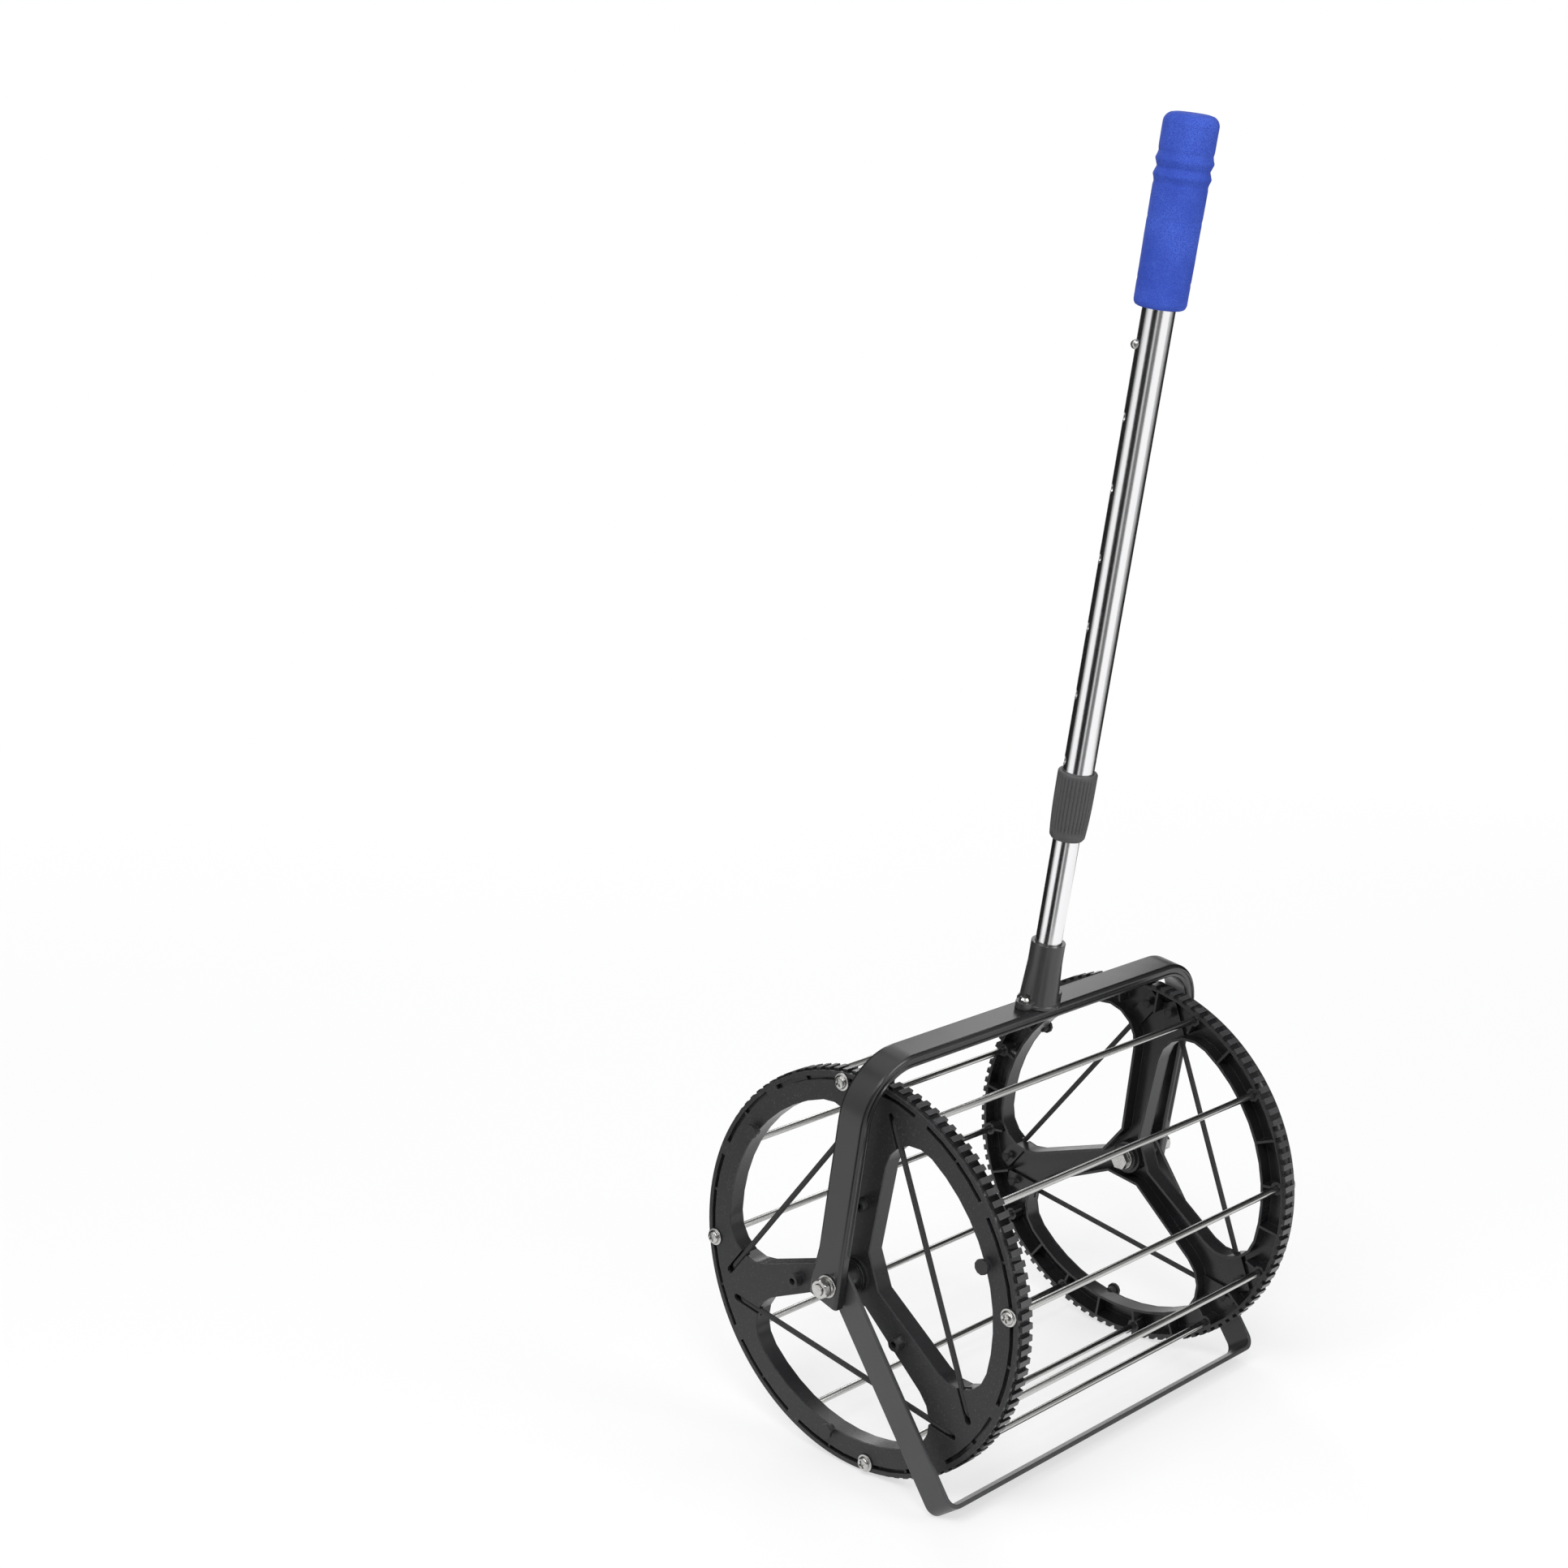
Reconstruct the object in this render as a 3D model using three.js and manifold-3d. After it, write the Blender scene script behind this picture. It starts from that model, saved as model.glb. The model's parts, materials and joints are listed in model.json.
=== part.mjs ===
// Tennis ball collector: a drum of steel rods between two toothed wheels rolls over the balls,
// carried by a yoke with a telescopic handle and propped by a folding kickstand.
// Millimetres, Z up. X runs along the axle, and the handle and kickstand lean to -Y.
import * as THREE from "three";
import { mergeVertices } from "three/addons/utils/BufferGeometryUtils.js";
import Module from "manifold-3d";

const wasm = await Module();
wasm.setup();

// Fits between pieces, and how far a cut runs past the face it opens
const clearance = 0.3;
const overrun = 1;

// Drum and wheels
const wheelDiameter = 292;
const drumWidth = 325;
const rimWidth = 14;
const plateThickness = 3;
const toothCount = 108;
const toothHeight = 2.6;
const toothTopShare = 0.5;
const toothInset = 0.5;
const treadWall = 1.8;
const rodCount = 12;
const rodDiameter = 5;
const rodInset = 3.7;
const rodBossDiameter = 10.4;
const tieRodEvery = 3;
const spokeCount = 3;
const spokeHalfWidthHub = 8.2;
const spokeHalfWidthRim = 12.4;
const spokeTaperLength = 95;
const windowInset = 14;
const windowCorner = 27;
const windowHubReach = 18.5;
const windowWall = 2;
const ribThickness = 1.8;
const arcSlotWidth = 3.2;
const arcSlotBridge = 11.5;
const arcSlotOffset = 1.7;
const spokeTilt = THREE.MathUtils.degToRad(-50);

// Hub of each wheel
const hubDiameter = 25;
const hubFlangeDiameter = 27;
const hubFlangeHeight = 1.5;
const knobDiameter = 9.6;
const knobBore = 5.2;
const knobHeight = 7.5;
const knobRadius = 56;
const hookStemDiameter = 7.4;
const hookHeadDiameter = 11;
const hookStemHeight = 4.2;
const hookHeadHeight = 2.2;
const hookInset = 1.6;

// Elastic cords across the windows
const cordDiameter = 4;
const cordSlotWidth = 5.2;
const cordSlotLength = 42;
const cordEndInset = 19;
const cordEndSpread = 20.4;
const cordSink = 0.3;
const cordTail = 8;
const cordKnotDiameter = 7.6;
const cordKnotHeight = 3.4;

// Rod screws
const screwShankDiameter = 3;
const screwReach = 10;
const screwWasherDiameter = 12.6;
const screwWasherHeight = 1.2;
const screwHeadDiameter = 9.6;
const screwHeadHeight = 3;
const screwHeadSideShare = 0.5;
const screwHeadCrownShare = 0.7;
const screwRecessWidth = 1.5;
const screwRecessLength = 5.6;
const screwRecessDepth = 1.6;

// Axle fittings, one set on each side
const boltDiameter = 8;
const boltHeadFlats = 13;
const boltHeadHeight = 5.3;
const nutHeight = 5;
const boltEndReach = 1.4;
const bushWall = 2.7;
const bushFlangeDiameter = 20;
const bushFlangeHeight = 2;
const washerDiameter = 16;
const washerHeight = 1.4;
const springWasherDiameter = 14;
const springWasherHeight = 1.8;
const springWasherGap = 1.6;
const spacerDiameter = 21.5;
const spacerFlangeDiameter = 25;
const spacerFlangeHeight = 2.5;
const armGap = 13.5;

// Kickstand
const kickstandWidth = 22;
const kickstandThickness = 3;
const kickstandCorner = 10;
const kickstandAngle = THREE.MathUtils.degToRad(-34.4);

// Yoke
const yokeWidth = 23;
const yokeThickness = 10;
const yokeGap = 11;
const yokeCorner = 45;
const yokeLean = THREE.MathUtils.degToRad(10);
const yokeOffset = -2.3;
const yokeEdge = 1.2;
const yokeGrooveWidth = 3.6;
const yokeGrooveDepth = 1.1;
const yokeEndDropFront = 16;
const yokeEndDropBack = 12.6;
const yokeEndHeight = 24;
const yokeEndBack = 16.6;
const yokeEndFront = 9.6;

// Handle socket
const socketHeight = 47.8;
const socketTopDiameter = 24.6;
const socketBaseDiameter = 28;
const socketFootDiameter = 31;
const socketFootHeight = 4;
const socketFloor = 6;
const socketTaperShare = 0.33;
const socketEarDiameter = 12;
const socketEarHeight = 5;
const socketEarOffset = 17;
const socketScrewDiameter = 4;
const socketScrewReach = 8;
const socketScrewHeadDiameter = 8;
const socketScrewHeadHeight = 2.8;

// Telescopic pole
const innerTubeDiameter = 19;
const outerTubeDiameter = 22;
const tubeWall = 1.2;
const collarHeight = 293.8;
const collarLength = 49.4;
const collarDiameter = 27.8;
const collarRibCount = 16;
const collarRibDepth = 1;
const collarRibShare = 0.55;
const collarLip = 5;
const collarNeck = 6;
const poleTravel = 288;
const holeCount = 7;
const holeDiameter = 7.8;
const buttonDrop = 24.9;
const buttonTurn = THREE.MathUtils.degToRad(45);
const buttonDiameter = 7;
const buttonProud = 3.4;
const buttonDomeShares = [[1, 0.6], [0.8, 0.2], [0.4, 0]];
const buttonFlangeDiameter = 10;
const buttonFlangeHeight = 1;
const buttonFlangeGap = 0.4;
const springStrip = 0.8;
const springWidth = 6;
const springLength = 34;
const springEndRise = 6;
const plugHeight = 3;
const plugInsert = 14;
const plugWall = 1.6;
const innerTubeRise = 21;

// Foam grip
const gripHeight = 663.2;
const gripLength = 122.6;
const gripDiameter = 34.8;
const gripTopDiameter = 36.4;
const gripCrown = 7;
const gripTopWall = 6;
const gripRingHeight = 1;
const gripRingLength = 5;
const gripRingShares = [0.68, 0.76];
const gripCrownShares = [[0.93, 0.67], [0.78, 1]];

// Round pieces' facets
const wheelFacets = 72;
const ringFacets = 48;
const tubeFacets = 20;
const smallFacets = 12;
const rodFacets = 10;
const cordFacets = 8;

// Worked out from the sizes above
const faceRadius = wheelDiameter / 2;
const tipRadius = faceRadius - toothInset;
const treadRadius = tipRadius - toothHeight;
const ringRadius = treadRadius - treadWall;
const rodCircle = ringRadius - rodInset;
const cordEndRadius = faceRadius - cordEndInset;
const windowRadius = rodCircle - windowInset;
const hubBore = boltDiameter / 2 + bushWall + 2 * clearance;
const halfDrum = drumWidth / 2;
const kickInner = halfDrum + armGap;
const kickOuter = kickInner + kickstandThickness;
const yokeInner = kickOuter + clearance;
const yokeOuter = yokeInner + yokeThickness;
const yokeReach = faceRadius + yokeGap + yokeThickness;
const screwHoleRadius = screwShankDiameter / 2 + clearance;
const boltHoleRadius = boltDiameter / 2 + clearance;
const buttonHeight = gripHeight - buttonDrop;
const innerTubeTop = buttonHeight + innerTubeRise;
const holePitch = poleTravel / (holeCount - 1);

const plastic = { color: 0x2b2b2d, roughness: 0.62, metalness: 0 };
const paint = { color: 0x242426, roughness: 0.38, metalness: 0 };
const steel = { color: 0xc9ccd0, roughness: 0.2, metalness: 1 };
const zinc = { color: 0xb9bbbb, roughness: 0.32, metalness: 1 };
const elastic = { color: 0x1b1b1c, roughness: 0.8, metalness: 0 };
const foam = { color: 0x3a50cd, roughness: 0.9, metalness: 0 };

const X = new THREE.Vector3(1, 0, 0);
const up = new THREE.Vector3(0, 0, 1);

// A closed three.js geometry as a manifold solid
function solid(geometry) {
  const bare = new THREE.BufferGeometry();
  bare.setAttribute("position", geometry.getAttribute("position"));
  bare.setIndex(geometry.index);
  const welded = mergeVertices(bare);
  const corners = welded.index.array;
  const kept = [];
  for (let i = 0; i < corners.length; i += 3) {
    const [a, b, c] = [corners[i], corners[i + 1], corners[i + 2]];
    if (a !== b && b !== c && c !== a) kept.push(a, b, c);
  }
  const mesh = new wasm.Mesh({
    numProp: 3,
    vertProperties: new Float32Array(welded.getAttribute("position").array),
    triVerts: new Uint32Array(kept),
  });
  return new wasm.Manifold(mesh);
}

function join(solids) {
  return solids.reduce((whole, piece) => whole.add(piece));
}

function cut(body, tools) {
  return tools.reduce((rest, tool) => rest.subtract(tool), body);
}

// A manifold solid back as a three.js geometry
function toGeometry(body) {
  const mesh = body.getMesh();
  const geometry = new THREE.BufferGeometry();
  geometry.setAttribute("position", new THREE.BufferAttribute(new Float32Array(mesh.vertProperties), 3));
  geometry.setIndex(new THREE.BufferAttribute(new Uint32Array(mesh.triVerts), 1));
  geometry.computeVertexNormals();
  return geometry;
}

function piece(name, body, look) {
  const mesh = new THREE.Mesh(toGeometry(body), new THREE.MeshStandardMaterial(look));
  mesh.name = name;
  return mesh;
}

// Points along an arc in the drawing plane
function arc(cx, cy, radius, from, to, steps) {
  const points = [];
  for (let i = 0; i <= steps; i += 1) {
    const angle = from + (to - from) * i / steps;
    points.push(new THREE.Vector2(cx + radius * Math.cos(angle), cy + radius * Math.sin(angle)));
  }
  return points;
}

function circle(cx, cy, radius, facets) {
  return arc(cx, cy, radius, 0, 2 * Math.PI, facets).slice(0, facets);
}

// A flat outline raised along Z from one height to another
function slab(outline, from, to, holes = []) {
  const shape = new THREE.Shape(outline);
  for (const hole of holes) shape.holes.push(new THREE.Path(hole));
  const geometry = new THREE.ExtrudeGeometry(shape, { depth: to - from, bevelEnabled: false });
  geometry.translate(0, 0, from);
  return geometry;
}

// A slab with a chamfer along both its edges, centred on the drawing plane
function chamferedSlab(outline, thickness, chamfer) {
  const settings = { depth: thickness - 2 * chamfer, bevelThickness: chamfer, bevelSize: chamfer };
  const shape = new THREE.Shape(outline);
  const bevel = { bevelEnabled: true, bevelOffset: -chamfer, bevelSegments: 1 };
  const geometry = new THREE.ExtrudeGeometry(shape, { ...settings, ...bevel });
  geometry.translate(0, 0, chamfer - thickness / 2);
  return geometry;
}

// A round bar or disc along Z
function rod(radius, from, to, facets = smallFacets, cx = 0, cy = 0) {
  return solid(slab(circle(cx, cy, radius, facets), from, to));
}

function hexBar(flats, from, to) {
  return rod(flats / Math.sqrt(3), from, to, 6);
}

function block(x0, x1, y0, y1, z0, z1) {
  const geometry = new THREE.BoxGeometry(x1 - x0, y1 - y0, z1 - z0);
  geometry.translate((x0 + x1) / 2, (y0 + y1) / 2, (z0 + z1) / 2);
  return solid(geometry);
}

// A profile of [radius, height] pairs turned round Z
function turned(profile, facets = tubeFacets) {
  const points = profile.map(([radius, height]) => new THREE.Vector2(radius, height));
  const geometry = new THREE.LatheGeometry(points, facets);
  geometry.rotateX(Math.PI / 2);
  return solid(geometry);
}

function tube(outer, inner, from, to, facets = tubeFacets) {
  return solid(slab(circle(0, 0, outer, facets), from, to, [circle(0, 0, inner, facets)]));
}

// Turns a solid's drawing axes onto three world directions
function turn(body, xTo, yTo, zTo) {
  const basis = new THREE.Matrix4().makeBasis(xTo, yTo, zTo);
  return body.transform(basis.elements);
}

function spin(body, angle) {
  return body.transform(new THREE.Matrix4().makeRotationZ(angle).elements);
}

function shift(body, x, y, z) {
  return body.transform(new THREE.Matrix4().makeTranslation(x, y, z).elements);
}

// A solid drawn along Z laid along X, with its drawing X on world Y
function alongX(body) {
  return turn(body, new THREE.Vector3(0, 1, 0), up, X);
}

// A solid drawn along Z laid along Y
function alongY(body) {
  return turn(body, up, X, new THREE.Vector3(0, 1, 0));
}

// An outline drawn in X and Z, given its depth along Y
function facingY(body) {
  return turn(body, X, up, new THREE.Vector3(0, -1, 0));
}

const rodAngles = Array.from({ length: rodCount }, (_, k) => (k + 0.5) * 2 * Math.PI / rodCount);
const tieAngles = rodAngles.filter((_, k) => k % tieRodEvery === 1);
const spokeAngles = Array.from({ length: spokeCount }, (_, k) => k * 2 * Math.PI / spokeCount);

// One window between the first two spokes, grown outwards by a wall
function windowOutline(grow) {
  const half = Math.PI / spokeCount;
  const taper = Math.atan((spokeHalfWidthRim - spokeHalfWidthHub) / spokeTaperLength);
  const edge = spokeHalfWidthHub * Math.cos(taper) - grow;
  const radius = windowRadius + grow;
  const corner = windowCorner + grow;
  const centreAngle = taper + Math.asin((edge + corner) / (radius - corner));
  const cx = (radius - corner) * Math.cos(centreAngle);
  const cy = (radius - corner) * Math.sin(centreAngle);
  const hubSide = half - taper;
  const along = (windowHubReach - grow - edge * Math.sin(hubSide)) / Math.cos(hubSide);
  const start = new THREE.Vector2(along * Math.cos(taper) - edge * Math.sin(taper),
    along * Math.sin(taper) + edge * Math.cos(taper));
  const oneSide = [start, ...arc(cx, cy, corner, taper - Math.PI / 2, centreAngle, 5)];
  const rim = arc(0, 0, radius, centreAngle, 2 * half - centreAngle, 10).slice(1, -1);
  const mirror = (point) => {
    const angle = 2 * half - Math.atan2(point.y, point.x);
    return new THREE.Vector2(point.length() * Math.cos(angle), point.length() * Math.sin(angle));
  };
  return [...oneSide, ...rim, ...oneSide.map(mirror).reverse()];
}

function turnPoints(points, angle) {
  return points.map((point) => point.clone().rotateAround(new THREE.Vector2(), angle));
}

// The tread's outline, one flat-topped tooth after another
function toothOutline() {
  const pitch = 2 * Math.PI / toothCount;
  const half = pitch * toothTopShare / 2;
  const points = [];
  for (let k = 0; k < toothCount; k += 1) {
    const middle = (k + 0.5) * pitch;
    for (const [radius, angle] of [[treadRadius, middle - half], [tipRadius, middle - half],
      [tipRadius, middle + half], [treadRadius, middle + half]]) {
      points.push(new THREE.Vector2(radius * Math.cos(angle), radius * Math.sin(angle)));
    }
  }
  return points;
}

// The curved slot in the face between two rods
function arcSlot(angle) {
  const middle = rodCircle + arcSlotOffset;
  const half = Math.PI / rodCount - arcSlotBridge / 2 / middle;
  const outer = arc(0, 0, middle + arcSlotWidth / 2, angle - half, angle + half, 4);
  const inner = arc(0, 0, middle - arcSlotWidth / 2, angle + half, angle - half, 4);
  return [...outer, ...inner];
}

// The two ends of the cord over the first window, in the wheel's plane
function cordEnds() {
  const spread = Math.asin(cordEndSpread / 2 / cordEndRadius);
  const first = new THREE.Vector2(cordEndRadius, 0).rotateAround(new THREE.Vector2(), spread);
  const last = first.clone().rotateAround(new THREE.Vector2(), 2 * Math.PI / spokeCount - 2 * spread);
  return [first, last];
}

// A straight round-ended slot from one point towards another
function slotCutter(from, towards) {
  const run = towards.clone().sub(from).normalize();
  const angle = Math.atan2(run.y, run.x);
  const half = cordSlotWidth / 2;
  const outline = [...arc(0, 0, half, Math.PI / 2, 3 * Math.PI / 2, 6),
    new THREE.Vector2(cordSlotLength, -half), new THREE.Vector2(cordSlotLength, half)];
  const depth = cordSink + cordDiameter + clearance;
  const cutter = solid(slab(outline, -depth, overrun));
  return shift(spin(cutter, angle), from.x, from.y, 0);
}

// One wheel, drawn with its first spoke on X and its outer face at Z = 0
function wheelBody() {
  const windows = spokeAngles.map((angle) => turnPoints(windowOutline(0), angle));
  const slots = rodAngles.map((angle) => arcSlot(angle + Math.PI / rodCount));
  const lap = plateThickness / 3;
  const disc = circle(0, 0, faceRadius, wheelFacets);
  const plate = solid(slab(disc, -plateThickness, 0, [...windows, ...slots]));
  const ring = circle(0, 0, ringRadius, ringFacets);
  const tread = solid(slab(toothOutline(), -rimWidth, -lap, [ring]));
  const wall = solid(slab(windowOutline(windowWall), -rimWidth, -lap, [windowOutline(0)]));
  const walls = spokeAngles.map((angle) => spin(wall, angle));
  const ribStart = windowRadius + windowWall / 2;
  const ribEnd = ringRadius + treadWall / 2;
  const rib = block(ribStart, ribEnd, -ribThickness / 2, ribThickness / 2, -rimWidth, -lap);
  const ribs = rodAngles.flatMap((angle) => [spin(rib, angle), spin(rib, angle + Math.PI / rodCount)]);
  const boss = rod(rodBossDiameter / 2, -rimWidth, -lap, cordFacets, rodCircle);
  const bosses = rodAngles.map((angle) => spin(boss, angle));
  const hub = rod(hubDiameter / 2, -rimWidth, -lap, tubeFacets);
  const flange = rod(hubFlangeDiameter / 2, -lap, hubFlangeHeight, tubeFacets);
  const knob = rod(knobDiameter / 2, -lap, knobHeight, rodFacets, knobRadius);
  const stem = rod(hookStemDiameter / 2, -lap, hookStemHeight, rodFacets, windowRadius + hookInset);
  const hookTop = hookStemHeight + hookHeadHeight;
  const head = rod(hookHeadDiameter / 2, hookStemHeight, hookTop, rodFacets, windowRadius + hookInset);
  const knobs = spokeAngles.map((angle) => spin(knob, angle));
  const hooks = spokeAngles.map((angle) => spin(join([stem, head]), angle + Math.PI / spokeCount));
  const body = join([plate, tread, ...walls, ...ribs, ...bosses, hub, flange, ...knobs, ...hooks]);
  return cut(body, wheelCuts());
}

// Rod sockets, screw holes, axle bore, knob bores and cord slots
function wheelCuts() {
  const socketRadius = rodDiameter / 2 + clearance;
  const socket = rod(socketRadius, -rimWidth - overrun, -plateThickness, rodFacets, rodCircle);
  const screwHole = rod(screwHoleRadius, -plateThickness - overrun, overrun, rodFacets, rodCircle);
  const bore = rod(hubBore, -rimWidth - overrun, hubFlangeHeight + overrun, tubeFacets);
  const knobHole = rod(knobBore / 2, 0, knobHeight + overrun, rodFacets, knobRadius);
  const [first, last] = cordEnds();
  const cordSlots = [slotCutter(first, last), slotCutter(last, first)];
  return [bore, ...rodAngles.map((angle) => spin(socket, angle)),
    ...tieAngles.map((angle) => spin(screwHole, angle)),
    ...spokeAngles.map((angle) => spin(knobHole, angle)),
    ...spokeAngles.flatMap((angle) => cordSlots.map((slot) => spin(slot, angle)))];
}

// Drawing directions of a wheel: its first spoke, its second axis, and outwards
function wheelAxes(side) {
  const outwards = X.clone().multiplyScalar(side);
  const spoke = new THREE.Vector3(0, Math.sin(spokeTilt), -Math.cos(spokeTilt));
  return [spoke, outwards.clone().cross(spoke), outwards];
}

// Places what is drawn on a wheel's face onto the left or right wheel
function onWheel(body, side) {
  const placed = turn(body, ...wheelAxes(side));
  return shift(placed, side * halfDrum, 0, 0);
}

// A straight elastic cord with both tails turned in behind the face and knotted
function cordBody() {
  const [first, last] = cordEnds();
  const radius = cordDiameter / 2;
  const span = first.distanceTo(last);
  const level = -cordSink - radius;
  const run = last.clone().sub(first);
  const bar = alongX(rod(radius, -radius / 2, span + radius / 2, cordFacets));
  const lying = shift(spin(bar, Math.atan2(run.y, run.x)), first.x, first.y, level);
  const tailEnd = level - cordTail;
  const tails = [first, last].map((end) => join([
    rod(radius, tailEnd, level, cordFacets, end.x, end.y),
    rod(cordKnotDiameter / 2, tailEnd - cordKnotHeight / 2, tailEnd + cordKnotHeight / 2, cordFacets,
      end.x, end.y),
  ]));
  return join([lying, ...tails]);
}

// A plain rod, or a tie rod with a threaded hole in each end
function rodBody(isTie) {
  const end = halfDrum - plateThickness - clearance;
  const bar = rod(rodDiameter / 2, -end, end, rodFacets);
  if (!isTie) return bar;
  const hole = rod(screwHoleRadius, end - screwReach - overrun, end + overrun, rodFacets);
  return cut(bar, [hole, hole.mirror([0, 0, 1])]);
}

// A pan-head screw with its washer face just above Z = 0
function screwBody() {
  const top = clearance + screwWasherHeight + screwHeadHeight;
  const washerTop = clearance + screwWasherHeight;
  const crown = screwHeadDiameter / 2;
  const foot = -plateThickness - screwReach;
  const head = turned([[0, foot], [screwShankDiameter / 2, foot],
    [screwShankDiameter / 2, clearance], [screwWasherDiameter / 2, clearance],
    [screwWasherDiameter / 2, washerTop], [crown, washerTop],
    [crown, washerTop + screwHeadHeight * screwHeadSideShare],
    [crown * screwHeadCrownShare, top], [0, top]], rodFacets);
  const half = screwRecessLength / 2;
  const slim = screwRecessWidth / 2;
  const depth = top - screwRecessDepth;
  const cross = [block(-half, half, -slim, slim, depth, top + overrun),
    block(-slim, slim, -half, half, depth, top + overrun)];
  return cut(head, cross);
}

// Places a solid drawn outwards from the drum's middle plane on one side
function onSide(body, side) {
  return side > 0 ? alongX(body) : alongX(body).mirror([1, 0, 0]);
}

function drumParts() {
  const parts = [];
  const wheel = wheelBody();
  const cord = cordBody();
  const screw = screwBody();
  for (const [label, side] of [["left", -1], ["right", 1]]) {
    parts.push(piece(`wheel_${label}`, onWheel(wheel, side), plastic));
    tieAngles.forEach((angle, k) => {
      const placed = spin(shift(screw, rodCircle, 0, 0), angle);
      parts.push(piece(`rod_screw_${label}_${k + 1}`, onWheel(placed, side), zinc));
    });
    spokeAngles.forEach((angle, k) => {
      parts.push(piece(`elastic_cord_${label}_${k + 1}`, onWheel(spin(cord, angle), side), elastic));
    });
    parts.push(piece(`hub_bush_${label}`, onSide(bushBody(), side), paint));
  }
  rodAngles.forEach((angle, k) => {
    const placed = spin(shift(rodBody(tieAngles.includes(angle)), rodCircle, 0, 0), angle);
    const name = `rod_${String(k + 1).padStart(2, "0")}`;
    parts.push(piece(name, turn(placed, ...wheelAxes(1)), steel));
  });
  return parts;
}

// Flanged bush in the hub, from inside the drum to the hub's outer flange
function bushBody() {
  const hubInner = halfDrum - rimWidth;
  const flangeFrom = hubInner - clearance - bushFlangeHeight;
  const flange = tube(bushFlangeDiameter / 2, boltHoleRadius, flangeFrom, hubInner - clearance);
  const sleeveRadius = hubBore - clearance;
  return flange.add(tube(sleeveRadius, boltHoleRadius, hubInner - clearance - bushFlangeHeight / 2,
    halfDrum + hubFlangeHeight - clearance));
}

// Bolt, washers and nut of one side, stacked outwards along the axle
function axleParts(label, side) {
  const bushFace = halfDrum - rimWidth - clearance - bushFlangeHeight;
  const innerWasherFrom = bushFace - clearance - washerHeight;
  const headTop = innerWasherFrom - clearance;
  const outerWasherFrom = yokeOuter + clearance;
  const springFrom = outerWasherFrom + washerHeight + clearance;
  const nutFrom = springFrom + springWasherHeight + clearance;
  const boltEnd = nutFrom + nutHeight + boltEndReach;
  const bolt = hexBar(boltHeadFlats, headTop - boltHeadHeight, headTop)
    .add(rod(boltDiameter / 2, headTop - overrun, boltEnd));
  const washer = (from) => tube(washerDiameter / 2, boltHoleRadius, from, from + washerHeight);
  const split = block(0, springWasherDiameter, -springWasherGap / 2, springWasherGap / 2,
    springFrom - overrun, springFrom + springWasherHeight + overrun);
  const springWasher = cut(tube(springWasherDiameter / 2, boltHoleRadius, springFrom,
    springFrom + springWasherHeight), [split]);
  const nut = cut(hexBar(boltHeadFlats, nutFrom, nutFrom + nutHeight),
    [rod(boltHoleRadius, nutFrom - overrun, nutFrom + nutHeight + overrun)]);
  const spacerFrom = halfDrum + hubFlangeHeight + clearance;
  const spacer = tube(spacerFlangeDiameter / 2, boltHoleRadius, spacerFrom, spacerFrom + spacerFlangeHeight)
    .add(tube(spacerDiameter / 2, boltHoleRadius, spacerFrom, kickInner - clearance));
  return [
    piece(`axle_bolt_${label}`, onSide(bolt, side), zinc),
    piece(`inner_washer_${label}`, onSide(washer(innerWasherFrom), side), zinc),
    piece(`outer_washer_${label}`, onSide(washer(outerWasherFrom), side), zinc),
    piece(`spring_washer_${label}`, onSide(springWasher, side), zinc),
    piece(`axle_nut_${label}`, onSide(nut, side), zinc),
    piece(`hub_spacer_${label}`, onSide(spacer, side), paint),
  ];
}

// A U-shaped outline in X and Z: arms up to Z = 0 and a bar at the given reach below
function bowOutline(inner, outer, reach, thickness, corner, top) {
  const wall = outer - inner;
  const outerRight = arc(outer - corner, corner - reach, corner, 0, -Math.PI / 2, 8);
  const innerCorner = corner - Math.min(wall, thickness);
  const innerLevel = thickness + innerCorner - reach;
  const innerRight = arc(inner - innerCorner, innerLevel, innerCorner, -Math.PI / 2, 0, 8);
  const mirrored = (points) => points.map((point) => new THREE.Vector2(-point.x, point.y)).reverse();
  return [new THREE.Vector2(outer, top), ...outerRight,
    ...mirrored(outerRight), new THREE.Vector2(-outer, top),
    new THREE.Vector2(-inner, top), ...mirrored(innerRight),
    ...innerRight, new THREE.Vector2(inner, top)];
}

// The kickstand's bow hangs straight down here, and is swung to its angle afterwards
function kickstandBody() {
  const half = kickstandWidth / 2;
  const slope = Math.abs(kickstandAngle);
  const reach = (faceRadius - half * Math.sin(slope)) / Math.cos(slope);
  const outline = bowOutline(kickInner, kickOuter, reach, kickstandThickness, kickstandCorner, 0);
  const bow = shift(facingY(solid(slab(outline, 0, kickstandWidth))), 0, half, 0);
  const eye = rod(half, kickInner, kickOuter, tubeFacets);
  const hole = rod(boltHoleRadius, kickInner - overrun, kickOuter + overrun, tubeFacets);
  const eyes = [1, -1].map((side) => onSide(eye, side));
  return cut(join([bow, ...eyes]), [1, -1].map((side) => onSide(hole, side)));
}

// The widened lower end of a yoke arm, drawn in Y and Z and given its thickness along X
function yokeEnd() {
  const front = -yokeEndFront;
  const back = yokeEndBack;
  const armBack = yokeWidth / 2 - yokeOffset;
  const armFront = -yokeWidth / 2 - yokeOffset;
  const outline = [[front, -yokeEndDropFront], [back, -yokeEndDropBack], [back, 0],
    [armBack - yokeEdge, yokeEndHeight], [armFront + yokeEdge, yokeEndHeight],
    [front, 0]].map(([y, z]) => new THREE.Vector2(y, z));
  return solid(slab(outline, yokeInner, yokeOuter));
}

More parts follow.
